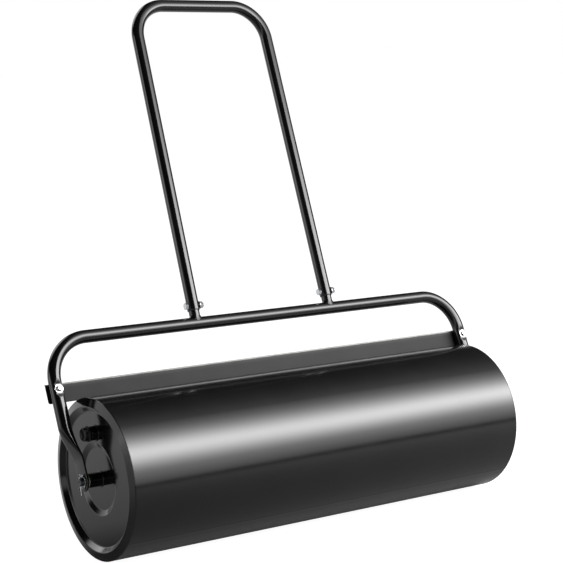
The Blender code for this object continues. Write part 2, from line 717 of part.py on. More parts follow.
def build_stub(side, leg_frame):
    """A short tube with its weld, coped to the crossbar, that the leg slides over."""
    weld_top = TUBE_RADIUS + WELD_HEIGHT
    outline = [
        (0, STUB_RADIUS - STUB_WALL),
        (0, STUB_RADIUS + WELD_WIDTH),
        (TUBE_RADIUS, STUB_RADIUS + WELD_WIDTH),
        (weld_top, STUB_RADIUS),
        (STUB_LENGTH, STUB_RADIUS),
        (STUB_LENGTH, STUB_RADIUS - STUB_WALL),
    ]
    rings = []
    for height, radius in outline:
        angles = [2 * math.pi * (step + 0.5) / TUBE_SIDES for step in range(TUBE_SIDES)]
        rings.append([Vector((radius * math.cos(a), radius * math.sin(a), height)) for a in angles])
    stub = add_piece("stub_" + side, lofted("stub_" + side, rings, closed=True), BLACK_PAINT, leg_frame)
    saddle = drill("saddle", TUBE_RADIUS + GAP, -3 * TUBE_RADIUS, 3 * TUBE_RADIUS)
    cut(stub, "saddle_" + side, saddle)
    hole = drill("stub_hole", HANDLE_BOLT_RADIUS + GAP, -2 * TUBE_RADIUS, 2 * TUBE_RADIUS)
    cut(stub, "stub_hole_" + side, hole, (0, 0, HANDLE_BOLT_HEIGHT))


def build_handle_bolt(side, leg_frame):
    """A hexagon bolt through leg and stub, with its washer and nut on the right-hand side."""
    head_inside = -TUBE_RADIUS - GAP
    head_outside = head_inside - HANDLE_HEAD_HEIGHT
    washer_inside = TUBE_RADIUS + GAP
    nut_inside = washer_inside + HANDLE_WASHER_THICKNESS + GAP
    bolt_end = nut_inside + HANDLE_NUT_HEIGHT + BOLT_END
    rings = [
        hexagon_ring(head_outside, HANDLE_HEAD_FLATS, CORNER_CUT),
        hexagon_ring(head_outside + CHAMFER_SHARE * HANDLE_HEAD_HEIGHT, HANDLE_HEAD_FLATS),
        hexagon_ring(head_inside, HANDLE_HEAD_FLATS),
        round_ring(head_inside, HANDLE_BOLT_RADIUS, FASTENER_SIDES),
        round_ring(bolt_end, HANDLE_BOLT_RADIUS, FASTENER_SIDES),
    ]
    bore = HANDLE_BOLT_RADIUS + GAP
    bolt = lofted("handle_bolt", rings)
    washer = flat_washer(
        "handle_washer", washer_inside, HANDLE_WASHER_THICKNESS, bore, HANDLE_WASHER_RADIUS, FASTENER_SIDES
    )
    nut = hexagon_nut("handle_nut", nut_inside, HANDLE_NUT_HEIGHT, HANDLE_NUT_FLATS, bore)
    for kind, mesh in (("handle_bolt_", bolt), ("handle_washer_", washer), ("handle_nut_", nut)):
        add_piece(kind + side, mesh, ZINC_PLATE, leg_frame, (0, 0, HANDLE_BOLT_HEIGHT))


def build_roller():
    """Put the frames in place and build every sub-part in them."""
    clear_scene()
    drum_frame = add_frame("drum_axis", location=(0, AXLE_Y, DRUM_RADIUS))
    yoke_frame = add_frame("yoke_axis", location=(0, AXLE_Y, DRUM_RADIUS), tilt=-LEAN)
    handle_frame = add_frame("handle_axis", yoke_frame, (0, 0, CROSSBAR_HEIGHT), tilt=LEAN - PUSH_LEAN)
    build_drum(drum_frame)
    build_filler(drum_frame)
    build_axle(add_frame("axle_line", location=(0, AXLE_Y, DRUM_RADIUS)))
    build_yoke(yoke_frame)
    build_scraper(yoke_frame)
    build_handle(handle_frame)


build_roller()
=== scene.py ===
"""Lawn roller: smooth surfaces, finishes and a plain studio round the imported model.

Lengths are in metres and angles in degrees unless a name says otherwise. X runs along the axle, Y points
backwards and Z points up. Every piece is worked out in the place where it stands.
"""
import json
import math

import bmesh
import bpy
import numpy as np
from mathutils import Matrix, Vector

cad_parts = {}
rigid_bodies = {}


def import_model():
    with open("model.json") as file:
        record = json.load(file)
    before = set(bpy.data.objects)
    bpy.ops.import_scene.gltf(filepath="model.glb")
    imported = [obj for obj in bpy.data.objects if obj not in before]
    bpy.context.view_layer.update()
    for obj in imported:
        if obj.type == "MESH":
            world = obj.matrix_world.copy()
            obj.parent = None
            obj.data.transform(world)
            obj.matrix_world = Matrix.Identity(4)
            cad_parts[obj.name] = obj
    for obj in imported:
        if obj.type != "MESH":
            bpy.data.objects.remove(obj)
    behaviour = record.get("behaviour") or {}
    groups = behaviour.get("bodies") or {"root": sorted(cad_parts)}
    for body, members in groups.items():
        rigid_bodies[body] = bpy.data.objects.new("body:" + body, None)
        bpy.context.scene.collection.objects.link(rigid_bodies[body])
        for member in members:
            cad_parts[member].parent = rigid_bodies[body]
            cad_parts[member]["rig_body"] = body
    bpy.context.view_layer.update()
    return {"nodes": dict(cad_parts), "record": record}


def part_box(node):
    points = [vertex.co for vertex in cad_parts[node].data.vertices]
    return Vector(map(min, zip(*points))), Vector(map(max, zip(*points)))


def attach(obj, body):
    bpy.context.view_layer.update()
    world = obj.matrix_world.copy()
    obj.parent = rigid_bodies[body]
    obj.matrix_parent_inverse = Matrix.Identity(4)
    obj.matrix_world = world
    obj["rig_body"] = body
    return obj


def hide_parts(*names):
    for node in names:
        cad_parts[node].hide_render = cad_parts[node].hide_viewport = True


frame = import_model()


def box(node):
    """A CAD node's lowest and highest corners."""
    low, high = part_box(node)
    return np.array(low), np.array(high)


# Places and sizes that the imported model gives
AXLE = sum(box("axle")) / 2
AXLE_END = box("axle")[1][0]
AXLE_RADIUS = box("axle")[1][2] - AXLE[2]
DRUM_RADIUS = box("drum_shell")[1][2] - AXLE[2]
SHELL_END = box("drum_shell")[1][0]
RIM_FACE = box("head_right")[1][0]
HUB_END = box("hub_tube")[1][0]
HUB_RADIUS = box("hub_tube")[1][2] - AXLE[2]
PLATE_END = box("scraper_plate")[1][0]
FILLER = sum(box("filler_neck")) / 2

# Clearances
GAP = 0.0003
THREAD_GAP = 0.0004

# Drum shell: its wall and seam, and how far out the sheet's waves run
SHELL_WALL = 0.0015
SHEET_SINK = 0.00012
SEAM_ANGLE = -128.0
SEAM_HEIGHT = 0.0003
SEAM_WIDTH = 0.0016
SEAM_PITCH = 0.0045
WAVES_END = 0.45
WAVES_FADE = 0.003

# Heads, with the bends' radii from the rim to the hub outside, and back again inside
HEAD_WALL = 0.002
RIM_WIDTH = 0.0179
RIM_FALL = 0.0037
RIM_CROWN = 0.0010
STEP_WIDTH = 0.0080
STEP_DEPTH = 0.009
BOSS_RADIUS = 0.067
BOSS_STEP_WIDTH = 0.007
BOSS_STEP_DEPTH = 0.0055
BOSS_SPREAD = 0.0015
BOSS_BEND = 0.0045
BENDS_OUTSIDE = (0, 0.0012, 0.0032, 0.0040, BOSS_BEND, BOSS_BEND, 0)
BENDS_INSIDE = (0, BOSS_BEND, BOSS_BEND, 0.0040, 0.0026, 0.0004, 0)
DISC_FACE = RIM_FACE - STEP_DEPTH
BOSS_FACE = DISC_FACE - BOSS_STEP_DEPTH

# Hub and axle, with the depth and radius of the centre drill's cone
HUB_WALL = 0.0025
BUSH_WALL = 0.0025
BUSH_LENGTH = 0.025
BUSH_FLANGE_WIDTH = 0.0018
BUSH_FLANGE = 0.002
AXLE_CHAMFER = 0.001
CENTRE_DRILL = (0.0016, 0.0012)
PIN_EDGE = 0.003
AXLE_BORE = AXLE_RADIUS + GAP

# Split pins, with each leg's side, length past the axle and splay
PIN_RADIUS = 0.0014
PIN_LOOP_RADIUS = 0.002
PIN_LOOP_RISE = 0.0035
PIN_LEG_GAP = 0.0001
PIN_BENDS = (0.003, 0.0015)
PIN_TAILS = ((-1, 0.0165, 18.0), (1, 0.0095, 38.0))

# Tubes
TUBE_RADIUS = 0.0127
YOKE_WALL = 0.002
HANDLE_WALL = 0.0015

# Yoke
YOKE_LEAN = 25.0
CROSSBAR_HEIGHT = 0.2716
ARM_INSIDE = 0.4798
ARM_CENTRE = ARM_INSIDE + TUBE_RADIUS
PADDLE_OFFSET = 0.0036
FLATTEN_START = 0.105
FLATTEN_END = 0.040
OFFSET_START = 0.070
OFFSET_END = 0.035
DIMPLE_DEPTH = 0.0025
DIMPLE_REACH = 0.018

# Scraper and its bolts, with heights over the axle along the arms. A painted highlight on the rolled lip runs between
# two heights past the lip's start, and covers the given shares of the paint on the way.
SCRAPER_FRONT = TUBE_RADIUS + GAP
SCRAPER_THICKNESS = 0.002
SCRAPER_EDGE = math.sqrt((DRUM_RADIUS + 0.0025) ** 2 - SCRAPER_FRONT**2)
SCRAPER_HEIGHT = 0.0375
SCRAPER_LIP_RADIUS = 0.003
SCRAPER_LIP_END = 100.0
SCRAPER_CORNER = 0.004
LIP_HIGHLIGHT_HEIGHTS = (-0.008, 0.002)
LIP_HIGHLIGHT_SHARES = ((0.0, 0.0), (0.6, 0.05), (0.72, 0.12), (0.86, 0.9))
SCRAPER_BOLT = SCRAPER_EDGE + 0.0222
YOKE_CORNER = CROSSBAR_HEIGHT - SCRAPER_BOLT - 0.014
SCRAPER_BOLT_RADIUS = 0.003
SCRAPER_HEAD_RADIUS = 0.0060
SCRAPER_HEAD_HEIGHT = 0.0046
SCRAPER_WASHER = (0.0012, 0.0083)
SCRAPER_WASHER_CROWN = 0.095
SCRAPER_NUT = (0.005, 0.010)

# Handle, stubs and their bolts. A washer is (thickness, radius), a head or nut (height, width over flats) and a
# thread (pitch, depth, taper at its end).
HANDLE_LEAN = 22.0
HANDLE_HEIGHT = 0.6762
HANDLE_CORNER = 0.0735
FOOT_SPACING = 0.326
TOP_SPACING = 0.315
LEG_FOOT = 0.0262
STUB_WALL = 0.003
STUB_LENGTH = 0.062
STUB_RADIUS = TUBE_RADIUS - HANDLE_WALL - GAP
WELD_HEIGHT = 0.004
WELD_WIDTH = 0.0024
HANDLE_BOLT = 0.0365
HANDLE_BOLT_RADIUS = 0.004
HANDLE_HEAD = (0.0053, 0.013)
HANDLE_WASHER = (0.0016, 0.008)
HANDLE_NUT = (0.0065, 0.013)
BOLT_END = 0.003
SCRAPER_THREAD = (0.001, 0.0005, 0.0006)
HANDLE_THREAD = (0.00125, 0.0006, 0.0008)
SCRAPER_SIZES = (SCRAPER_BOLT_RADIUS, SCRAPER_THREAD, SCRAPER_NUT)
HANDLE_SIZES = (HANDLE_BOLT_RADIUS, HANDLE_THREAD, HANDLE_NUT)
LEAN_IN = math.atan2((FOOT_SPACING - TOP_SPACING) / 2, HANDLE_HEIGHT)

# Filler, with the knob's dish as (depth, radius)
NECK_RADIUS = 0.0135
NECK_BORE = 0.0100
NECK_OUTSIDE = 0.0128
NECK_INSIDE = 0.010
NECK_THREAD = (0.003, 0.0007)
SEAL = (0.0015, NECK_BORE + 0.0024)
FLANGE_RADIUS = 0.015
FLANGE_THICKNESS = 0.0035
FLUTE = 0.0009
FLUTES = 12
KNOB_RADIUS = 0.0127
KNOB_HEIGHT = 0.0090
KNOB_CHAMFER = 0.0022
KNOB_DISH = ((0, 0.0092), (0.0002, 0.0088), (0.0010, 0.0084), (0.0012, 0.0080), (0.0012, 0.0))
PLUG_STEM = 0.016

# Rounding of cut edges, and how many sides round pieces have
EDGE = 0.0004
SAWN_EDGE = 0.0003
TURNED_SIDES = 96
BOLT_SIDES = 72

# Weld beads
BEAD_PITCH = 0.0019
BEAD_SIDES = 240

# Studio: the paper's two greys, its glow for the eye with distance and for mirrors from front to back, where the
# glow for mirrors is painted shade, dim in front of and near the drum; then the walls up to their top, the ceiling, the
# darker side, the glow over the right wall and the windows. A window is a direction, a strength, and the cosines of
# the angle off it where it begins and is full.
PAPER = ("#7C7C7C", "#828282")
PAPER_GLOW = (0.955, 1.0)
PAPER_GLOW_REACH = (1.2, 5.0)
PAPER_GLOSS_GLOW_PAINTED_SHADE = ((0.0, 0.04), (0.07, 0.38), (0.35, 0.6), (1.0, 1.1))
PAPER_PAINTED_SHADE_SWEEP = (-0.1, 2.4)
WALL = 1.0
WALL_TOP = (0.15, 0.30)
CEILING = 0.02
DARK_SIDE = 0.15
DARK_SIDE_EDGE = (0.72, 0.88)
GLOW_FALL = (-0.6, -5.2)
GLOW_EDGES = ((0, 0.0, 0.4), (2, 0.15, 0.45))
WINDOWS = (((-0.2, 0.8, 0.55), 3.2, 0.925, 0.975), ((-0.91, 0.40, 0.07), 2.2, 0.968, 0.985))

# Key lamp and camera
KEY_PLACE = (1.8, 0, 0)
KEY_ELEVATION = 42.1
KEY_DISTANCE = 2.0
KEY_SIZE = (3.5, 3.4)
KEY_POWER = 570
KEY_FADING = 0.40
LENS = 101.25
LENS_PLACE = (-1.7829, -2.6427, 0.9515)
LENS_DOWN = 8.609
LENS_TURN = 34.627

# Frames that the pieces are worked out in
AXLE_FRAME = Matrix.Translation(AXLE)
YOKE_FRAME = AXLE_FRAME @ Matrix.Rotation(-math.radians(YOKE_LEAN), 4, "X")
HANDLE_FRAME = (
    YOKE_FRAME
    @ Matrix.Translation((0, 0, CROSSBAR_HEIGHT))
    @ Matrix.Rotation(math.radians(YOKE_LEAN - HANDLE_LEAN), 4, "X")
)
FILLER_FRAME = Matrix.Translation((-DISC_FACE, FILLER[1], FILLER[2])) @ Matrix.Rotation(math.pi, 4, "Z")
SIDES = (("left", -1), ("right", 1))


def to_side(sign):
    """The half turn about Z that points a right-hand piece to its own side."""
    return Matrix.Rotation(0 if sign > 0 else math.pi, 4, "Z")


def leg_frame(sign):
    """The frame of one handle leg, with Z along the leg."""
    foot = Matrix.Translation((sign * FOOT_SPACING / 2, 0, 0))
    return HANDLE_FRAME @ foot @ Matrix.Rotation(-sign * LEAN_IN, 4, "Y")


def handle_bolt_frame(sign):
    """The frame of a handle bolt, with X along the bolt."""
    return leg_frame(sign) @ Matrix.Translation((0, 0, HANDLE_BOLT))


def scraper_bolt_frame(sign):
    """The frame of a scraper bolt, with X along the bolt towards its nut."""
    arm = Matrix.Translation((sign * ARM_CENTRE, 0, SCRAPER_BOLT))
    return YOKE_FRAME @ arm @ Matrix.Rotation(math.pi / 2, 4, "Z")


def pin_frame(sign):
    """The frame of a split pin, upright in the axle."""
    return AXLE_FRAME @ Matrix.Translation((sign * (AXLE_END - PIN_EDGE), 0, 0))


# Shapes as grids of points


def placed(points, matrix):
    """Points carried into the model's frame by a matrix."""
    matrix = np.array(matrix)
    return points @ matrix[:3, :3].T + matrix[:3, 3]


def ease(value):
    """From 0 to 1 along 3v^2 - 2v^3, and level outside."""
    value = np.clip(value, 0, 1)
    return value * value * (3 - 2 * value)


def circle(sides, phase=0.0):
    """Angles round a full circle."""
    return 2 * np.pi * (np.arange(sides) + phase) / sides


def unit(vectors):
    """Vectors of length one, along their last axis."""
    return vectors / np.linalg.norm(vectors, axis=-1, keepdims=True)


def rounded(corners, radius, closed=True, steps=4):
    """A line through corners, each turned into an arc of its radius that touches both its sides.

    The arc is centre + (first sin((1 - t) span) + last sin(t span)) / sin(span) for t from 0 to 1, with a point
    a little way along each side, so that flat faces stay flat where they meet it.
    """
    corners = np.array(corners, float)
    radii = np.broadcast_to(radius, len(corners))
    share = np.linspace(0, 1, steps + 1)[:, None]
    line = []
    for index, (here, bend) in enumerate(zip(corners, radii)):
        if bend == 0 or (not closed and index in (0, len(corners) - 1)):
            line.append(here[None])
            continue
        back = unit(corners[index - 1] - here)
        ahead = unit(corners[(index + 1) % len(corners)] - here)
        half = math.acos(np.clip(back @ ahead, -1, 1)) / 2
        reach = bend / math.tan(half)
        centre = here + unit(back + ahead) * bend / math.sin(half)
        first, last = here + back * reach - centre, here + ahead * reach - centre
        span = math.pi - 2 * half
        arc = centre + (first * np.sin((1 - share) * span) + last * np.sin(share * span)) / math.sin(span)
        guard = 0.1 * bend
        line.append(np.concatenate([[arc[0] + back * guard], arc, [arc[-1] + ahead * guard]]))
    return np.concatenate(line)


def stacked(rows, angles):
    """Rows of (x, radius), each a number or a value for every angle, as points (x, radius sin a, radius cos a)."""
    x = np.array([np.broadcast_to(row[0], angles.shape) for row in rows], float)
    radius = np.array([np.broadcast_to(row[1], angles.shape) for row in rows], float)
    return np.stack([x, radius * np.sin(angles), radius * np.cos(angles)], axis=-1)


def turned(profile, sides=TURNED_SIDES):
    """A line of (x, radius) turned about X."""
    return stacked(profile, circle(sides))


def washer(inside, thickness, bore, radius, crown=0.0):
    """A stamped ring from x = inside outwards, its edges rounded, as a closed line turned about X. A crown lets its
    first face fall away towards the edge by a share of its width."""
    outside, fall = inside + thickness, crown * (radius - bore)
    corners = [(inside, bore), (inside + 0.3 * fall, (bore + radius) / 2), (inside + fall, radius)]
    corners += [(outside, radius), (outside, bore)]
    bends = np.array([0.2, 0, 0.2, 0.2, 0.2]) * thickness
    if crown:
        bends[1:3] = 2 * (radius - bore), 0.1 * thickness
    return turned(rounded(corners, bends))


def ring_bead(x, ring_radius, radius):
    """A weld bead round a circle about X: a small circle of radius r (1 + ripple) carried round it, where the ripple
    is a tilted wave of the bead's pitch, as the pool of metal freezes in overlapping scales."""
    angles = circle(BEAD_SIDES)
    out = np.stack([0 * angles, np.sin(angles), np.cos(angles)], axis=-1)
    up = np.array([1.0, 0, 0])
    line = ring_radius * out + x * up
    length = np.linalg.norm(np.roll(line, -1, axis=0) - line, axis=1)
    waves = max(3, round(length.sum() / BEAD_PITCH))
    phase = (2 * np.pi * waves * (np.cumsum(length) - length) / length.sum())[:, None]
    around = circle(16)
    swell = radius * (1 + 0.05 * np.cos(phase + 0.9 * np.cos(around)) + 0.03 * np.cos(5 * phase / waves))
    around = around[None, :, None]
    return line[:, None] + swell[..., None] * (np.cos(around) * out[:, None] + np.sin(around) * up)


def hexagon(angles, flats):
    """The radius of a hexagon at each angle, half its width over flats divided by the cosine of the angle off the
    nearest flat, with the very corners dulled."""
    off_flat = (angles + np.pi / 6) % (np.pi / 3) - np.pi / 6
    return np.minimum(flats / 2 / np.cos(off_flat), 0.992 * flats / math.sqrt(3))


def hexagon_rows(height, flats, angles):
    """Rows of a forged hexagon from x = 0 up: flat sides that a 30 degree cone cuts back towards the top circle,
    so that the cone's edge falls further at the corners."""
    side = hexagon(angles, flats)
    top = 0.475 * flats * np.ones_like(angles)
    fall = (side - top) * math.tan(math.radians(30))
    dull = 0.0002
    return [(0 * angles, side - dull), (0 * angles + dull, side), (height - fall, side), (height + 0 * angles, top)]


def screw_thread(start, end, radius, pitch, depth, angles, fade):
    """Rows of a screw thread: the radius less depth times a rounded wave of x / pitch - a / 360, fading at both
    ends over a length."""
    x = np.linspace(start, end, max(4, int(12 * abs(end - start) / pitch)))
    wave = 0.5 - 0.5 * np.cos(2 * np.pi * (x[:, None] / pitch - angles / (2 * np.pi)))
    strength = np.minimum(1, np.minimum(abs(x - start), abs(end - x)) / fade)[:, None]
    return list(zip(x, radius - depth * strength * wave**1.5))


# Meshes and pieces


def stand(name, data):
    """An object of some data, put in the scene."""
    made = bpy.data.objects.new(name, data)
    bpy.context.scene.collection.objects.link(made)
    return made


def grid(points, ends):
    """Vertices and faces for rows by columns of points whose last column joins the first. The ends are "joined" last
    row to first, "capped" with flat faces, or "open". The sign of the volume turns the faces outwards."""
    rows, columns = points.shape[:2]
    i, j = np.arange(rows if ends == "joined" else rows - 1)[:, None], np.arange(columns)[None]
    here, after = i * columns, (i + 1) % rows * columns
    beside = (j + 1) % columns
    quads = np.stack([here + j, here + beside, after + beside, after + j], axis=-1).reshape(-1, 4)
    vertices = points.reshape(-1, 3)
    a, b, c, d = (vertices[quads[:, k]] for k in range(4))
    volume = np.sum(a * np.cross(b, c)) + np.sum(a * np.cross(c, d))
    faces = quads.tolist()
    if ends == "capped":
        for row, order in ((0, -1), (rows - 1, 1)):
            cap = points[row][::order]
            volume += np.sum(np.cross(cap[1:-1], cap[2:]) @ cap[0])
            faces.append((row * columns + np.arange(columns))[::order].tolist())
    if volume < 0:
        faces = [face[::-1] for face in faces]
    return vertices, faces


def mesh_of(name, grids, crease):
    """One smooth mesh from several grids, with sharp edges where faces meet at more than the crease angle."""
    vertices, faces = [], []
    for made_vertices, made_faces in grids:
        faces += [[index + len(vertices) for index in face] for face in made_faces]
        vertices += made_vertices.tolist()
    mesh = bpy.data.meshes.new(name)
    mesh.from_pydata(vertices, [], faces)
    sharpen(mesh, crease)
    return mesh


def sharpen(mesh, crease):
    """Join doubled points at poles, then shade smooth up to the crease angle."""
    shape = bmesh.new()
    shape.from_mesh(mesh)
    bmesh.ops.remove_doubles(shape, verts=shape.verts, dist=1e-7)
    shape.to_mesh(mesh)
    shape.free()
    mesh.shade_smooth()
    mesh.set_sharp_from_angle(angle=math.radians(crease))


def bored(mesh, cutters, crease):
    """A mesh with holes: closed grids are taken away from it by an exact Boolean."""
    blank, drill = stand("blank", mesh), stand("drill", mesh_of("drill", cutters, crease))
    cut = blank.modifiers.new("holes", "BOOLEAN")
    cut.object, cut.operation, cut.solver = drill, "DIFFERENCE", "EXACT"
    bpy.context.view_layer.update()
    result = bpy.data.meshes.new_from_object(blank.evaluated_get(bpy.context.evaluated_depsgraph_get()))
    for thing in (blank, drill):
        bpy.data.objects.remove(thing)
    sharpen(result, crease)
    return result


def hole(radius, start, end, matrix, sides=64):
    """A round cutter along X of a frame."""
    return grid(placed(turned([(start, radius), (end, radius)], sides), matrix), "capped")


def piece(name, node, shapes, matrix, holes=(), ends="joined", crease=30.0):
    """A finished piece from shapes, each rows by columns of points in a frame. It stands for a CAD node: it rides on
    that node's body and takes its slot's finish."""
    mesh = mesh_of(name, [grid(placed(points, matrix), ends) for points in shapes], crease)
    if holes:
        mesh = bored(mesh, holes, crease)
    made = stand(name, mesh)
    slot = next(part["material_slot"] for part in frame["record"]["subparts"] if part["node"] == node)
    mesh.materials.clear()
    mesh.materials.append(FINISHES[slot])
    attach(made, frame["nodes"][node]["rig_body"])
    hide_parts(node)


# Finishes


def linear(code):
    """An sRGB hex value as linear colour."""
    values = [int(code[at : at + 2], 16) / 255 for at in (1, 3, 5)]
    return (*[v / 12.92 if v <= 0.04045 else ((v + 0.055) / 1.055) ** 2.4 for v in values], 1.0)


def add(tree, kind, settings=None, inputs=None):
    """A shader node with its settings, and with its inputs set to a value or linked to another node's output."""
    made = tree.nodes.new("ShaderNode" + kind)
    for name, value in (settings or {}).items():
        setattr(made, name, value)
    for name, value in (inputs or {}).items():
        if isinstance(value, bpy.types.NodeSocket):
            tree.links.new(value, made.inputs[name])
        else:
            made.inputs[name].default_value = value
    return made


def per_mm(size):
    """The texture scale at which a pattern's grain is this many millimetres."""
    return 1000 / size


def speckle(tree, place, grain, detail=2.0, roughness=0.5, stretch=None):
    """Noise whose grain is a size in millimetres, stretched along an axis if asked."""
    if stretch:
        place = add(tree, "Mapping", inputs={"Vector": place, "Scale": stretch}).outputs[0]
    inputs = {"Vector": place, "Scale": per_mm(grain), "Detail": detail, "Roughness": roughness}
    return add(tree, "TexNoise", inputs=inputs).outputs[0]


def spread(tree, value, low, high, start=0.3, end=0.7):
    """A value from start to end spread over the range low to high."""
    inputs = {"Value": value, "From Min": start, "From Max": end, "To Min": low, "To Max": high}
    return add(tree, "MapRange", inputs=inputs).outputs[0]


def maths(tree, operation, *values):
    """A calculation on numbers or other nodes' outputs."""
    return add(tree, "Math", {"operation": operation}, dict(enumerate(values))).outputs[0]


def vector_maths(tree, operation, *values):
    """A calculation on places: a vector for a difference, and a value for a length or a product."""
    outputs = add(tree, "VectorMath", {"operation": operation}, dict(enumerate(values))).outputs
    return outputs["Vector" if operation == "SUBTRACT" else "Value"]


def blend(tree, share, first, second):
    """A colour between two others, each given outright or by a node's output."""
    return add(tree, "Mix", {"data_type": "RGBA"}, {0: share, 6: first, 7: second}).outputs[2]


def tint(tree, share, codes):
    """A colour between two hex values."""
    return blend(tree, share, linear(codes[0]), linear(codes[1]))


def levels(tree, value, stops):
    """A grey level that passes through stops of (value, level)."""
    ramp = add(tree, "ValToRGB", inputs={0: value})
    for index, (at, level) in enumerate(stops):
        stop = ramp.color_ramp.elements[index] if index < 2 else ramp.color_ramp.elements.new(at)
        stop.position, stop.color = at, (level, level, level, 1)
    return ramp.outputs[0]


def bare_tree(holder):
    """The node tree of a material or a world, emptied."""
    holder.use_nodes = True
    holder.node_tree.nodes.clear()
    return holder.node_tree


def new_finish(name):
    """A material with its node tree, its surface shader and the place on the piece."""
    material = bpy.data.materials.new(name)
    material.use_nodes = True
    tree = material.node_tree
    return material, tree, tree.nodes["Principled BSDF"], add(tree, "TexCoord").outputs["Object"]


def relief(tree, shader, pattern, height):
    """A pattern as a bump of a height in millimetres."""
    inputs = {"Height": pattern, "Distance": height / 1000, "Strength": 1.0}
    tree.links.new(add(tree, "Bump", inputs=inputs).outputs[0], shader.inputs["Normal"])


def paint(name, colours, ior, roughness, peel_grain, peel_height, sheen=0.5, lip_highlight=None):
    """Black paint: mottled colour, patches of lower gloss where hands and dust have dulled it, orange peel, and where
    asked a painted highlight along an edge.
    """
    material, tree, shader, place = new_finish(name)
    mottle = speckle(tree, place, 90, 3)
    dust = speckle(tree, place, 1.6, 2)
    handled = speckle(tree, place, 45, 4, 0.6)
    peel = speckle(tree, place, peel_grain, 1)
    colour = tint(tree, spread(tree, mottle, 0, 1), colours)
    # A painted highlight along the rolled lip, where one is asked for
    if lip_highlight:
        colour = paint_lip_highlight(tree, place, colour, lip_highlight)
    tree.links.new(colour, shader.inputs["Base Color"])
    gloss = spread(tree, handled, *roughness, 0.35, 0.65)
    tree.links.new(maths(tree, "ADD", gloss, spread(tree, dust, -0.004, 0.004)), shader.inputs["Roughness"])
    shader.inputs["IOR"].default_value = ior
    shader.inputs["Specular IOR Level"].default_value = sheen
    relief(tree, shader, peel, peel_height)
    return material


def paint_lip_highlight(tree, place, colour, highlight_colour):
    """A painted highlight on the blade's rolled edge: a pale colour above the lip's start, in patches, standing in for
    light caught by the lip.
    """
    start = AXLE + np.array(YOKE_FRAME.to_3x3()) @ [0, 0, SCRAPER_EDGE + SCRAPER_HEIGHT - SCRAPER_LIP_RADIUS]
    along = vector_maths(tree, "SUBTRACT", place, tuple(start))
    height = vector_maths(tree, "DOT_PRODUCT", along, tuple(YOKE_FRAME.to_3x3().col[2]))
    patches = spread(tree, speckle(tree, place, 14, 4, 0.65), -0.0003, 0.0003)
    above = spread(tree, maths(tree, "ADD", height, patches), 0, 1, *LIP_HIGHLIGHT_HEIGHTS)
    return blend(tree, levels(tree, above, LIP_HIGHLIGHT_SHARES), colour, linear(highlight_colour))


def plain(name, pattern, colours, roughness, constants, height, bumps=None):
    """A plain material whose colour and roughness follow a pattern of a grain in millimetres and a detail. Its bumps
    follow the same pattern, or one made by a function of the tree and the place."""
    material, tree, shader, place = new_finish(name)
    clouds = speckle(tree, place, *pattern)
    tree.links.new(tint(tree, spread(tree, clouds, 0, 1), colours), shader.inputs["Base Color"])
    tree.links.new(spread(tree, clouds, *roughness), shader.inputs["Roughness"])
    for socket, value in constants.items():
        shader.inputs[socket].default_value = value
    relief(tree, shader, bumps(tree, place) if bumps else clouds, height)
    return material


def lathe_rings(tree, place):
    """Rings round X as a lathe's tool leaves them, 0.6 mm apart."""
    settings = {"bands_direction": "X", "wave_profile": "SAW"}
    inputs = {"Vector": place, "Scale": per_mm(0.6) / 20, "Distortion": 0.6, "Detail": 1.0}
    return add(tree, "TexWave", settings, inputs).outputs["Fac"]


def grain_of(*pattern):
    """A function that makes a speckle for bumps of their own."""
    return lambda tree, place: speckle(tree, place, *pattern)


# Every finish, by the record's slot that it belongs to
FINISHES = {
    # Gloss powder coat baked on bent tube: deep black with sharp bands of light and a faint orange peel
    "frame_paint": paint("gloss_powder_coat_on_tube", ("#060607", "#0A0A0B"), 1.45, (0.14, 0.16), 3.0, 0.0006),
    # Sprayed enamel on rolled sheet: one broad highlight with soft edges, and the sheet's slight waves
    "drum_paint": paint("satin_enamel_on_rolled_sheet", ("#070707", "#0B0B0B"), 1.5, (0.15, 0.17), 3.0, 0.001),
    # The same enamel on a pressed end: glossier, so that it mirrors the arm beside it
    "head_paint": paint("enamel_on_pressed_head", ("#070708", "#0C0C0C"), 1.5, (0.10, 0.14), 3.0, 0.001),
    # Matt powder coat on flat bar: dark grey where the light grazes it, with a painted highlight along its rolled edge
    "scraper_paint": paint(
        "matt_powder_coat_on_plate", ("#101011", "#141415"), 1.45, (0.60, 0.63), 1.4, 0.008, 0.27, "#949492"
    ),
    # Bright zinc plating on pressed and rolled fasteners: a cool metal with slight clouds and fine scuffs
    "zinc_plate": plain(
        "bright_zinc_plate", (4, 3), ("#A9ABAE", "#C6C8CA"), (0.16, 0.28), {"Metallic": 1.0}, 0.002,
        grain_of(0.5, 2, 0.6, (1, 0.25, 1)),
    ),
    # Turned mild steel bar: fine rings from the lathe, in a very dark grey metal colour
    "axle_steel": plain(
        "turned_dark_steel", (6, 3), ("#3A3B3E", "#55565A"), (0.26, 0.42), {"Metallic": 1.0}, 0.01, lathe_rings
    ),
    # Moulded natural nylon: milky, with a soft sheen and a little light inside
    "bush_nylon": plain(
        "moulded_nylon", (5, 2), ("#D6D1C2", "#E2DED2"), (0.42, 0.52),
        {"IOR": 1.53, "Subsurface Weight": 0.15, "Subsurface Scale": 0.001}, 0.006, grain_of(0.8, 2),
    ),
    # Moulded black polyethylene: waxy, with the fine grain of the mould
    "plug_plastic": plain(
        "moulded_polyethylene", (7, 3), ("#070708", "#0D0D0E"), (0.26, 0.36), {"IOR": 1.51}, 0.006, grain_of(0.7, 2)
    ),
    # Moulded nitrile rubber: dull black with a dry surface
    "seal_rubber": plain("moulded_rubber", (1.2, 3), ("#101010", "#1B1B1A"), (0.65, 0.8), {"IOR": 1.52}, 0.02),
}


# Drum


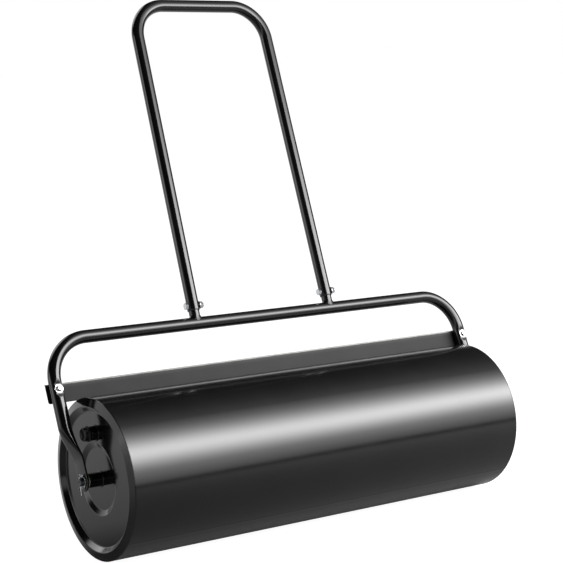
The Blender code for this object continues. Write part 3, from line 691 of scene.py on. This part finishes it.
def drum_shell():
    """The rolled sheet: radius R plus slow waves of a twentieth of a millimetre round and along it, and a ground weld
    seam along the back that stands up as a rounded ridge. Both fade out just before the rims."""
    seam = math.radians(SEAM_ANGLE)
    angles = np.unique(np.concatenate([circle(224), seam + np.linspace(-0.03, 0.03, 17)]) % (2 * np.pi))
    corners = [(-SHELL_END, -SHELL_WALL), (-SHELL_END, 0), (SHELL_END, 0), (SHELL_END, -SHELL_WALL)]
    edges = rounded(corners, EDGE)
    outside, left = edges[:, 1] > -0.0002, edges[:, 0] < 0
    x = np.concatenate([edges[outside & left, 0], np.linspace(-WAVES_END, WAVES_END, 61), edges[outside & ~left, 0]])
    wave = (
        0.00005 * np.sin(5 * angles + 1.3) * np.cos(4.1 * x)[:, None]
        + 0.00004 * np.sin(9 * angles + 0.4) * np.sin(7.3 * x + 0.8)[:, None]
    )
    off_seam = ((angles - seam + np.pi) % (2 * np.pi) - np.pi) * DRUM_RADIUS
    ridge = SEAM_HEIGHT * np.exp(-((off_seam / SEAM_WIDTH) ** 2))
    ripple = 1 + 0.15 * np.sin(x * 2 * np.pi / SEAM_PITCH)[:, None]
    fade = (1 - np.clip((abs(x) - WAVES_END) / WAVES_FADE, 0, 1))[:, None]
    outer = list(zip(x, DRUM_RADIUS + (wave + ridge * ripple) * fade - SHEET_SINK))
    first, last = (
        [(at, DRUM_RADIUS + low - SHEET_SINK) for at, low in edges[~outside & half]] for half in (left, ~left)
    )
    piece("rolled_drum_shell", "drum_shell", [stacked(first + outer + last, angles)], AXLE_FRAME)


def head_profile():
    """The pressed head's closed section, to be turned about X: rim, outer step, disc, boss step and hub hole, then the
    same bends one wall further in."""
    step_top = DRUM_RADIUS - RIM_WIDTH
    start = SHELL_END + GAP
    face = [
        (start, DRUM_RADIUS),
        (RIM_FACE - RIM_FALL, DRUM_RADIUS),
        (RIM_FACE + RIM_CROWN, step_top + RIM_CROWN),
        (DISC_FACE, step_top - STEP_WIDTH),
        (DISC_FACE, BOSS_RADIUS + BOSS_SPREAD),
        (BOSS_FACE, BOSS_RADIUS - BOSS_STEP_WIDTH - BOSS_SPREAD),
        (BOSS_FACE, HUB_RADIUS + GAP),
    ]
    back = [(x - HEAD_WALL, r - HEAD_WALL * (r == DRUM_RADIUS)) for x, r in face[:0:-1]]
    back.append((start, DRUM_RADIUS - HEAD_WALL))
    sides = ((face, BENDS_OUTSIDE), (back, BENDS_INSIDE))
    return np.concatenate([rounded(line, bends, closed=False, steps=10) for line, bends in sides])


def heads():
    """Both heads, their section turned about X, the left one with a hole for the filler neck."""
    shape = turned(head_profile(), 2 * TURNED_SIDES)
    for side, sign in SIDES:
        holes = [hole(NECK_RADIUS + GAP, -NECK_INSIDE, NECK_INSIDE, FILLER_FRAME)] if sign < 0 else ()
        piece("pressed_head_" + side, "head_" + side, [shape], AXLE_FRAME @ to_side(sign), holes)


def hub():
    """The hub tube with a weld bead to each head, and a flanged bush in each end, all sections turned about X."""
    bore = HUB_RADIUS - HUB_WALL
    corners = [(-HUB_END, bore), (-HUB_END, HUB_RADIUS), (HUB_END, HUB_RADIUS), (HUB_END, bore)]
    beads = [ring_bead(sign * (BOSS_FACE + EDGE), HUB_RADIUS + EDGE, 0.0017) for _, sign in SIDES]
    piece("welded_hub_tube", "hub_tube", [turned(rounded(corners, EDGE)), *beads], AXLE_FRAME)
    outside = box("hub_bush_right")[1][0]
    inside, flange = outside - BUSH_LENGTH, outside - BUSH_FLANGE
    radius = AXLE_BORE + BUSH_WALL
    rim = radius + BUSH_FLANGE_WIDTH
    corners = [(inside, AXLE_BORE), (inside, radius), (flange, radius), (flange, rim)]
    corners += [(outside, rim), (outside, AXLE_BORE)]
    shape = turned(rounded(corners, EDGE / 2))
    for side, sign in SIDES:
        piece("flanged_bush_" + side, "hub_bush_" + side, [shape], AXLE_FRAME @ to_side(sign))


# Filler


def filler():
    """The neck with an inside thread and its weld bead, the seal on its end, and the screw plug: rows of (x, radius)
    turned about X, where the plug's flange has a radius of r - flute (1 - cos(12 a)) / 2."""
    angles = circle(TURNED_SIDES)
    inside = -HEAD_WALL - NECK_INSIDE
    pitch, depth = NECK_THREAD
    rows = [(inside + EDGE, NECK_RADIUS), (NECK_OUTSIDE - EDGE, NECK_RADIUS), (NECK_OUTSIDE, NECK_RADIUS - EDGE)]
    rows += [(NECK_OUTSIDE, NECK_BORE + EDGE), (NECK_OUTSIDE - EDGE, NECK_BORE)]
    rows += screw_thread(NECK_OUTSIDE - 2 * EDGE, inside + 2 * EDGE, NECK_BORE, pitch, -depth, angles, 0.002)
    rows += [(inside + EDGE, NECK_BORE), (inside, NECK_BORE + EDGE), (inside, NECK_RADIUS - EDGE)]
    bead = ring_bead(GAP, NECK_RADIUS + 0.0005, 0.0014)
    piece("threaded_filler_neck", "filler_neck", [stacked(rows, angles), bead], FILLER_FRAME)
    piece("flat_seal", "plug_seal", [washer(NECK_OUTSIDE + GAP, SEAL[0], NECK_BORE, SEAL[1])], FILLER_FRAME)

    angles = circle(144)
    rim = FLANGE_RADIUS - FLUTE * (0.5 - 0.5 * np.cos(FLUTES * angles))
    stem = NECK_BORE - THREAD_GAP
    base = NECK_OUTSIDE + GAP + SEAL[0] + GAP
    foot, flange = base - PLUG_STEM, base + FLANGE_THICKNESS
    tip = flange + KNOB_HEIGHT
    soft, softer = 0.0006, 0.3 * 0.0006
    rows = [(foot, 0.0), (foot, stem - 2 * THREAD_GAP), (foot + soft, stem - depth)]
    rows += screw_thread(foot + 2 * soft, base - soft, stem, pitch, depth, angles, 0.0015)
    rows += [(base, stem), (base, stem + soft), (base, rim - soft), (base + softer, rim - softer), (base + soft, rim)]
    rows += [(flange - soft, rim), (flange - softer, rim - softer), (flange, rim - soft), (flange, KNOB_RADIUS + soft)]
    rows += [(flange + softer, KNOB_RADIUS + softer), (flange + soft, KNOB_RADIUS)]
    rows += [(tip - KNOB_CHAMFER - soft, KNOB_RADIUS)]
    turn = np.linspace(0, math.pi / 2, 8)
    rows += [(tip - KNOB_CHAMFER * (1 - math.sin(t)), KNOB_RADIUS - KNOB_CHAMFER * (1 - math.cos(t))) for t in turn]
    rows += [(tip - sunk, radius) for sunk, radius in KNOB_DISH]
    piece("fluted_filler_plug", "filler_plug", [stacked(rows, angles)], FILLER_FRAME, ends="open")


# Axle, washers and split pins


def axle():
    """The bar with chamfered ends, a centre-drill cone in each and a cross hole for each pin, and its washers, all
    sections turned about X."""
    drilled, wide = CENTRE_DRILL
    cut, dull = AXLE_RADIUS - AXLE_CHAMFER, 0.0001
    end = [(AXLE_END - drilled, 0), (AXLE_END - 3 * dull, wide), (AXLE_END, wide + 4 * dull)]
    end += [(AXLE_END, cut - dull), (AXLE_END - dull, cut), (AXLE_END - AXLE_CHAMFER, AXLE_RADIUS - dull)]
    end += [(AXLE_END - AXLE_CHAMFER - 2 * dull, AXLE_RADIUS)]
    profile = [(-x, r) for x, r in end] + end[::-1]
    upright = Matrix.Rotation(math.pi / 2, 4, "Y")
    long = 2 * AXLE_RADIUS
    holes = [hole(PIN_RADIUS + GAP, -long, long, pin_frame(sign) @ upright, 32) for _, sign in SIDES]
    piece("turned_axle", "axle", [turned(profile)], AXLE_FRAME, holes, "open")
    for kind, name in (("thrust_washer_", "thrust_ring_"), ("axle_washer_", "axle_ring_")):
        low, high = box(kind + "right")
        shape = washer(low[0], high[0] - low[0], AXLE_BORE, high[2] - AXLE[2])
        for side, sign in SIDES:
            piece(name + side, kind + side, [shape], AXLE_FRAME @ to_side(sign))


def pin_line():
    """A split pin's inner line as (y, z): up one leg, round the loop and down the other, with eased bends."""
    below, above = -AXLE_RADIUS - GAP, AXLE_RADIUS + GAP
    legs = []
    for sign, tail, splay in PIN_TAILS:
        angle = math.radians(splay)
        inner = sign * PIN_LEG_GAP
        tip = (inner + sign * tail * math.sin(angle), below - tail * math.cos(angle))
        legs.append([tip, (inner, below), (inner, above)])
    turn = np.radians(np.linspace(225, -45, 21))
    loop = [0, AXLE_RADIUS + PIN_LOOP_RISE] + PIN_LOOP_RADIUS * np.stack([np.cos(turn), np.sin(turn)], axis=-1)
    front, back = legs
    first = rounded(front + [tuple(loop[0])], [0, *PIN_BENDS, 0], closed=False, steps=6)
    last = rounded([tuple(loop[-1])] + back[::-1], [0, *PIN_BENDS[::-1], 0], closed=False, steps=6)
    return np.concatenate([first, loop[1:-1], last])


def split_pins():
    """Half-round wire carried along the pin's line: (r sin b, r cos b) for b over half a circle, flat side in."""
    line = pin_line()
    ahead = unit(np.gradient(line, axis=0))
    out = np.stack([-ahead[:, 1], ahead[:, 0]], axis=-1)
    half = np.radians(np.linspace(-90, 90, 15))
    place = line[:, None] + out[:, None] * ((PIN_RADIUS - PIN_LEG_GAP) * np.cos(half))[None, :, None]
    x = np.broadcast_to(PIN_RADIUS * np.sin(half), place.shape[:2])
    points = np.concatenate([x[..., None], place], axis=-1)
    for side, sign in SIDES:
        piece("split_pin_" + side, "cotter_pin_" + side, [points], pin_frame(sign), ends="capped", crease=40)


# Yoke


def pressed(height):
    """Half the arm's thickness along X: the tube's radius, easing to two walls pressed together."""
    return TUBE_RADIUS - (TUBE_RADIUS - YOKE_WALL) * ease((FLATTEN_START - height) / (FLATTEN_START - FLATTEN_END))


def dent(across, height):
    """The front of the tube pushed in round the scraper's bolt: a smooth maximum of the round front and a flat that
    sinks by the dimple's depth."""
    depth = DIMPLE_DEPTH * ease((DIMPLE_REACH - abs(height - SCRAPER_BOLT)) / (DIMPLE_REACH - SCRAPER_WASHER[1]))
    flat = np.where(depth > 0, depth - TUBE_RADIUS, -1.0)
    soft = 0.0006
    sunk = (across + flat + np.sqrt((across - flat) ** 2 + soft**2)) / 2
    return np.where(depth > 0, np.maximum(sunk, across), across)


def yoke():
    """The bent tube. Up the arm its section is two flats with round ends, (t cos b, t sin b + s) with t half the
    thickness and s half the flats' width, and the girth of the tube is kept; under the axle the same edge is
    carried round half a circle. On the corner the round section is carried round an arc, and the right half
    mirrors the left."""
    sides = circle(56, 0.5)
    wide = (TUBE_RADIUS - YOKE_WALL) * math.pi / 2
    down = np.radians(np.linspace(90, 0, 15))[:-1, None]
    reach = wide + YOKE_WALL * abs(np.sin(sides))
    x = 0 * down - (ARM_INSIDE - PADDLE_OFFSET + YOKE_WALL) - YOKE_WALL * np.cos(sides)
    end = np.stack([x, np.cos(down) * reach * np.sign(np.sin(sides)), -np.sin(down) * reach], axis=-1)

    height = np.concatenate(
        [
            np.linspace(0, FLATTEN_END, 13)[:-1],
            np.linspace(FLATTEN_END, FLATTEN_START, 45),
            np.linspace(FLATTEN_START, SCRAPER_BOLT - DIMPLE_REACH, 5)[1:],
            np.linspace(SCRAPER_BOLT - DIMPLE_REACH, CROSSBAR_HEIGHT - YOKE_CORNER, 40)[1:-1],
        ]
    )[:, None]
    thick = pressed(height)
    inside = ARM_INSIDE - PADDLE_OFFSET * ease((OFFSET_START - height) / (OFFSET_START - OFFSET_END))
    across = thick * np.sin(sides) + (TUBE_RADIUS - thick) * math.pi / 2 * np.sign(np.sin(sides))
    arm = np.stack([-(inside + thick) - thick * np.cos(sides), dent(across, height), height + 0 * across], axis=-1)

    bend = np.radians(np.linspace(0, 90, 41))[:, None]
    outward = np.stack([-np.cos(bend), 0 * bend, np.sin(bend)], axis=-1)
    centre = np.array([YOKE_CORNER - ARM_CENTRE, 0, CROSSBAR_HEIGHT - YOKE_CORNER]) + outward * YOKE_CORNER
    round_across = dent(TUBE_RADIUS * np.sin(sides) + 0 * bend, centre[..., 2])
    corner = centre + outward * (TUBE_RADIUS * np.cos(sides))[None, :, None]
    corner = corner + np.array([0, 1, 0]) * round_across[..., None]

    half = np.concatenate([end, arm, corner])
    points = np.concatenate([half, half[::-1] * [-1, 1, 1]])
    holes = []
    for _, sign in SIDES:
        holes.append(hole(AXLE_BORE, ARM_INSIDE - TUBE_RADIUS, ARM_INSIDE + TUBE_RADIUS, AXLE_FRAME @ to_side(sign)))
        holes.append(hole(SCRAPER_BOLT_RADIUS + GAP, -2 * TUBE_RADIUS, 2 * TUBE_RADIUS, scraper_bolt_frame(sign)))
    piece("bent_yoke", "yoke", [points], YOKE_FRAME, holes, "open", 40)


# Scraper


def scraper():
    """The blade: its section, a straight face rolled back at the top, carried along X. Near each end the lower edge
    climbs a quarter circle, which rounds the blade's corners. A dome bolt goes through each arm."""
    lip_centre = np.array([SCRAPER_FRONT + SCRAPER_LIP_RADIUS, SCRAPER_EDGE + SCRAPER_HEIGHT - SCRAPER_LIP_RADIUS])
    turn = np.radians(np.linspace(180, SCRAPER_LIP_END, 9))
    arc = np.stack([np.cos(turn), np.sin(turn)], axis=-1)
    straight = np.linspace(SCRAPER_EDGE, lip_centre[1], 13)[:-1]
    straight[0] += EDGE
    middle = SCRAPER_FRONT + SCRAPER_THICKNESS / 2
    front, back = (
        np.concatenate([np.stack([depth + 0 * straight, straight], axis=-1), lip_centre + radius * arc])
        for depth, radius in (
            (SCRAPER_FRONT, SCRAPER_LIP_RADIUS),
            (SCRAPER_FRONT + SCRAPER_THICKNESS, SCRAPER_LIP_RADIUS - SCRAPER_THICKNESS),
        )
    )
    foot = np.array([[middle + 0.0006, SCRAPER_EDGE], [middle - 0.0006, SCRAPER_EDGE]])
    section = np.concatenate([front, back[::-1], foot])

    run = np.linspace(0, math.pi / 2, 9)
    x = np.unique(np.concatenate([[0.0, EDGE, 0.03, 0.06], SCRAPER_CORNER * (1 - np.cos(run))]))
    short = SCRAPER_CORNER - np.minimum(x, SCRAPER_CORNER)
    climb = SCRAPER_CORNER - np.sqrt(np.maximum(SCRAPER_CORNER**2 - short**2, 0))
    thin = np.where(x < EDGE, 0.75, 1.0)
    x = np.concatenate([-PLATE_END + x, [0.0], (PLATE_END - x)[::-1]])
    climb = np.concatenate([climb, [0.0], climb[::-1]])[:, None]
    thin = np.concatenate([thin, [1.0], thin[::-1]])[:, None]
    share = (lip_centre[1] - np.minimum(section[:, 1], lip_centre[1])) / (lip_centre[1] - SCRAPER_EDGE)
    height = section[:, 1] + climb * share
    depth = middle + (section[:, 0] - middle) * np.where(section[:, 1] < lip_centre[1], thin, 1.0)
    points = np.stack([x[:, None] + 0 * depth, depth, height], axis=-1)
    holes = []
    for side, sign in SIDES:
        holes.append(hole(SCRAPER_BOLT_RADIUS + GAP, 0, 3 * TUBE_RADIUS, scraper_bolt_frame(sign)))
        scraper_bolt(side, scraper_bolt_frame(sign))
    piece("scraper_blade", "scraper_plate", [points], YOKE_FRAME, holes, "capped")


def scraper_bolt(side, at):
    """A dome-head bolt: an elliptic dome, a plain shank and a threaded end, with its washer in the dimple and its
    nut behind the blade."""
    washer_front = -(TUBE_RADIUS - DIMPLE_DEPTH) - GAP - SCRAPER_WASHER[0]
    head = washer_front - GAP
    rise = np.radians(np.linspace(90, 0, 13))
    dome = SCRAPER_HEAD_HEIGHT - EDGE
    rows = [(head - EDGE - dome * math.sin(t) ** 0.85, SCRAPER_HEAD_RADIUS * max(math.cos(t), 0) ** 0.38) for t in rise]
    rows += [(head, SCRAPER_HEAD_RADIUS - 0.0001), (head, SCRAPER_BOLT_RADIUS)]
    ring = washer(washer_front, SCRAPER_WASHER[0], SCRAPER_BOLT_RADIUS + GAP, SCRAPER_WASHER[1], SCRAPER_WASHER_CROWN)
    nut_start = SCRAPER_FRONT + SCRAPER_THICKNESS + GAP
    fasten("dome_bolt_", "scraper_", side, at, rows, ring, nut_start, SCRAPER_SIZES, 30)


def fasten(name, node, side, at, rows, ring, nut_start, sizes, crease):
    """A bolt's three pieces. Its shank goes on from the head's rows, plain up to the nut and then threaded to a cut
    end. The nut is a hexagon coned at both faces, with its bore countersunk, as a closed ring of rows round X."""
    angles = circle(BOLT_SIDES)
    radius, (pitch, depth, taper), (height, flats) = sizes
    end = nut_start + height + BOLT_END
    rows = rows + [(nut_start, radius)]
    rows += screw_thread(nut_start + 0.0002, end - 0.0006, radius, pitch, depth, angles, 0.0003)
    rows += [(end - 0.0005, radius - 0.0001), (end, radius - taper), (end, 0.0)]
    piece(name + side, node + "bolt_" + side, [stacked(rows, angles)], at, ends="open", crease=crease)
    piece(name + "washer_" + side, node + "washer_" + side, [ring], at)
    bore = radius + GAP
    upper = [(x + nut_start, edge) for x, edge in hexagon_rows(height, flats, angles)[2:]]
    lower = [(2 * nut_start + height - x, edge) for x, edge in upper[::-1]]
    outside = nut_start + height
    bores = [(outside, bore + EDGE), (outside - EDGE, bore), (nut_start + EDGE, bore), (nut_start, bore + EDGE)]
    piece(name + "nut_" + side, node + "nut_" + side, [stacked(lower + upper + bores, angles)], at, crease=25)


# Handle


def handle():
    """The handle: a circle carried up a leg, round an arc, along the bar and down again; outside and inside are one
    closed ring of rows that meet at the feet, where the sawn edge is broken."""
    sine, cosine = math.sin(LEAN_IN), math.cos(LEAN_IN)
    foot = np.array([-FOOT_SPACING / 2 + LEG_FOOT * math.tan(LEAN_IN), LEG_FOOT])
    centre = [-TOP_SPACING / 2 + HANDLE_CORNER * (1 - sine) / cosine, HANDLE_HEIGHT - HANDLE_CORNER]
    turn = np.linspace(math.pi - LEAN_IN, math.pi / 2, 33)
    arc = np.stack([np.cos(turn), np.sin(turn)], axis=-1)
    length = (HANDLE_HEIGHT - HANDLE_CORNER - LEG_FOOT) / cosine
    broken = np.array([0.0, 0.3, 1.0]) * SAWN_EDGE
    starts = np.concatenate([broken, np.linspace(0.003, 0.024, 8), np.linspace(0.03, length - 0.01, 34)])
    line = np.concatenate([foot + starts[:, None] * [sine, cosine], centre + HANDLE_CORNER * arc])
    out = np.concatenate([np.broadcast_to([-cosine, sine], (len(starts), 2)), arc])
    lost = np.zeros(len(line))
    lost[:3] = broken[::-1]
    angles = circle(56, 0.5)

    def carried(radii):
        """The circle of each radius carried over the left half, and its mirror over the right."""
        ring = line[:, None] + out[:, None] * (radii[:, None] * np.cos(angles))[..., None]
        across = radii[:, None] * np.sin(angles)
        left = np.stack([ring[..., 0], across, ring[..., 1]], axis=-1)
        return np.concatenate([left, left[::-1] * [-1, 1, 1]])

    outer, inner = carried(TUBE_RADIUS - lost), carried(TUBE_RADIUS - HANDLE_WALL + lost)
    points = np.concatenate([outer, inner[::-1]])
    piece("push_handle", "handle", [points], HANDLE_FRAME, [handle_bolt_hole(sign) for _, sign in SIDES])
    for side, sign in SIDES:
        stub(side, sign)
        handle_bolt(side, handle_bolt_frame(sign))


def handle_bolt_hole(sign):
    """The cutter of a handle bolt's hole."""
    return hole(HANDLE_BOLT_RADIUS + GAP, -2 * TUBE_RADIUS, 2 * TUBE_RADIUS, handle_bolt_frame(sign))


def saddle(radius, angles):
    """How high over the crossbar's centre a tube of this radius meets it: the height is the square root of the
    crossbar's radius squared less the depth squared."""
    return np.sqrt(np.maximum((TUBE_RADIUS + GAP) ** 2 - (radius * np.sin(angles)) ** 2, 0))


def stub(side, sign):
    """A short tube coped to the crossbar, whose foot flares into a rippled weld: the radius is the stub's plus the
    weld's width times (1 - u)^1.6, with u from the crossbar to the weld's top, times (1 + ripple)."""
    angles = circle(TURNED_SIDES)
    top = TUBE_RADIUS + WELD_HEIGHT
    share = np.linspace(0, 1, 13)[:, None]
    spreading = WELD_WIDTH * (1 - 0.45 * np.sin(angles) ** 2)
    foot = saddle(STUB_RADIUS + spreading, angles)
    height = foot + (top - foot) * share
    ripple = 1 + 0.07 * np.cos(24 * angles + 2.2 * share) + 0.04 * np.sin(3 * angles + 1)
    radius = STUB_RADIUS + spreading * (1 - share) ** 1.6 * ripple - 0.0001 * (share < 1)
    bore, sawn = STUB_RADIUS - STUB_WALL, STUB_LENGTH - EDGE
    rows = list(zip(height, radius))
    rows += [(z, STUB_RADIUS) for z in np.linspace(top + 0.001, STUB_LENGTH - 2 * EDGE, 22)]
    rows += [(sawn, STUB_RADIUS), (STUB_LENGTH, STUB_RADIUS - EDGE), (STUB_LENGTH, bore + EDGE), (sawn, bore)]
    rows += [(saddle(bore, angles), bore), (saddle(STUB_RADIUS, angles) - 0.0001, STUB_RADIUS)]
    z, across, along = np.moveaxis(stacked(rows, angles), -1, 0)
    points = np.stack([along, across, z], axis=-1)
    piece("welded_stub_" + side, "stub_" + side, [points], leg_frame(sign), [handle_bolt_hole(sign)], crease=40)


def handle_bolt(side, at):
    """A hexagon bolt whose head lies on the left of the leg, with its washer and nut on the right."""
    head, start = -TUBE_RADIUS - GAP, TUBE_RADIUS + GAP
    rows = [(head - HANDLE_HEAD[0], 0.0)]
    rows += [(head - x, radius) for x, radius in hexagon_rows(*HANDLE_HEAD, circle(BOLT_SIDES))[::-1]]
    rows += [(head, HANDLE_BOLT_RADIUS)]
    ring = washer(start, HANDLE_WASHER[0], HANDLE_BOLT_RADIUS + GAP, HANDLE_WASHER[1])
    nut_start = start + HANDLE_WASHER[0] + GAP
    fasten("hexagon_bolt_", "handle_", side, at, rows, ring, nut_start, HANDLE_SIZES, 25)


# Studio


def studio_floor():
    """A pale floor: a disc of rings r (cos a, sin a) of growing radius r."""
    radius = np.array([0.001, 1, 4, 12, 40])[:, None]
    angles = circle(64)
    points = np.stack([radius * np.cos(angles), radius * np.sin(angles), 0 * radius * angles], axis=-1)
    mesh = mesh_of("pale_floor", [grid(points, "open")], 30)
    floor = stand("pale_floor", mesh)

    # Pale seamless paper: it takes the roller's shadow, and glows to white for eyes and mirrors alone. For mirrors
    # its glow is painted shade, dim in front of and near the drum.
    material = bpy.data.materials.new("seamless_paper")
    tree = bare_tree(material)
    place = add(tree, "TexCoord").outputs["Object"]
    fibre = spread(tree, speckle(tree, place, 8, 3), 0.0, 1.0)
    paper = add(tree, "BsdfDiffuse", inputs={"Color": tint(tree, fibre, PAPER)}).outputs[0]
    path = add(tree, "LightPath").outputs
    near = spread(tree, vector_maths(tree, "LENGTH", place), *PAPER_GLOW, *PAPER_GLOW_REACH)
    to_eye = maths(tree, "MULTIPLY", path["Is Camera Ray"], near)
    mirrored = maths(tree, "MAXIMUM", path["Is Glossy Ray"], path["Is Transmission Ray"])
    # The glow that mirrors see is painted shade: dim in front of and near the drum, rising towards the back
    behind = add(tree, "SeparateXYZ", inputs={0: place}).outputs[1]
    gloss_glow_painted_shade = levels(tree, spread(tree, behind, 0, 1, *PAPER_PAINTED_SHADE_SWEEP), PAPER_GLOSS_GLOW_PAINTED_SHADE)
    strength = maths(tree, "MULTIPLY_ADD", mirrored, gloss_glow_painted_shade, to_eye)
    glow = add(tree, "Emission", inputs={"Color": (1, 1, 1, 1), "Strength": strength}).outputs[0]
    both = add(tree, "AddShader", inputs={0: paper, 1: glow}).outputs[0]
    add(tree, "OutputMaterial", inputs={"Surface": both})
    mesh.materials.append(material)


def studio_walls():
    """The world: white walls up to a low height that turn to a dark ceiling, darker at the right. Over the right wall
    a glow falls off as exp(-a - b y) towards the rear, and two windows add light of their own."""
    world = bpy.data.worlds.new("studio_walls")
    bpy.context.scene.world = world
    tree = bare_tree(world)
    direction = add(tree, "TexCoord").outputs["Generated"]
    axes = add(tree, "SeparateXYZ", inputs={0: direction}).outputs
    inputs = {"Value": axes[2], "From Min": WALL_TOP[0], "From Max": WALL_TOP[1], "To Min": WALL, "To Max": CEILING}
    level = add(tree, "MapRange", {"interpolation_type": "SMOOTHSTEP"}, inputs).outputs[0]
    level = maths(tree, "MULTIPLY", level, spread(tree, axes[0], 1, DARK_SIDE, *DARK_SIDE_EDGE))
    glow = maths(tree, "EXPONENT", spread(tree, axes[1], *GLOW_FALL, 0.0, 1.0))
    for axis, start, end in GLOW_EDGES:
        glow = maths(tree, "MULTIPLY", glow, spread(tree, axes[axis], 0, 1, start, end))
    level = maths(tree, "MAXIMUM", level, glow)
    for centre, strength, start, end in WINDOWS:
        towards = vector_maths(tree, "DOT_PRODUCT", direction, tuple(unit(np.array(centre))))
        level = maths(tree, "ADD", level, spread(tree, towards, 0, strength, start, end))
    eye = add(tree, "LightPath").outputs["Is Camera Ray"]
    shown = maths(tree, "MAXIMUM", eye, level)
    background = add(tree, "Background", inputs={"Color": (1, 1, 1, 1), "Strength": shown}).outputs[0]
    add(tree, "OutputWorld", inputs={"Surface": background})


def key_light():
    """A rectangular lamp, up in front of a place beside the drum that it faces. Its cloth glows brightest along its
    middle and fades with the height h over that as 1 / cosh(h / fading)."""
    lamp = bpy.data.lights.new("key_softbox", "AREA")
    lamp.shape, lamp.energy = "RECTANGLE", KEY_POWER
    lamp.size, lamp.size_y = KEY_SIZE
    holder = stand("key_softbox", lamp)
    over = math.radians(KEY_ELEVATION)
    holder.location = AXLE + KEY_PLACE + KEY_DISTANCE * np.array([0, -math.cos(over), math.sin(over)])
    holder.rotation_euler = (math.pi / 2 - over, 0, 0)
    holder.visible_camera = False
    lamp.use_nodes = True
    tree = lamp.node_tree
    cloth = add(tree, "NewGeometry").outputs["Parametric"]
    up = add(tree, "SeparateXYZ", inputs={0: cloth}).outputs[1]
    reach = KEY_SIZE[1] / KEY_FADING
    curve = maths(tree, "COSH", maths(tree, "MULTIPLY_ADD", up, reach, -reach / 2))
    tree.links.new(maths(tree, "DIVIDE", 1.0, curve), tree.nodes["Emission"].inputs["Strength"])


def camera():
    """A long lens at the roller's left front, slightly above it."""
    lens = bpy.data.cameras.new("camera")
    lens.lens, lens.sensor_width, lens.clip_end = LENS, 36.0, 200
    holder = stand("camera", lens)
    holder.location = LENS_PLACE
    holder.rotation_euler = (math.radians(90 - LENS_DOWN), 0, -math.radians(LENS_TURN))
    bpy.context.scene.camera = holder


bpy.context.scene.view_settings.view_transform = "Standard"

drum_shell()
heads()
hub()
filler()
axle()
split_pins()
yoke()
scraper()
handle()
studio_floor()
studio_walls()
key_light()
camera()
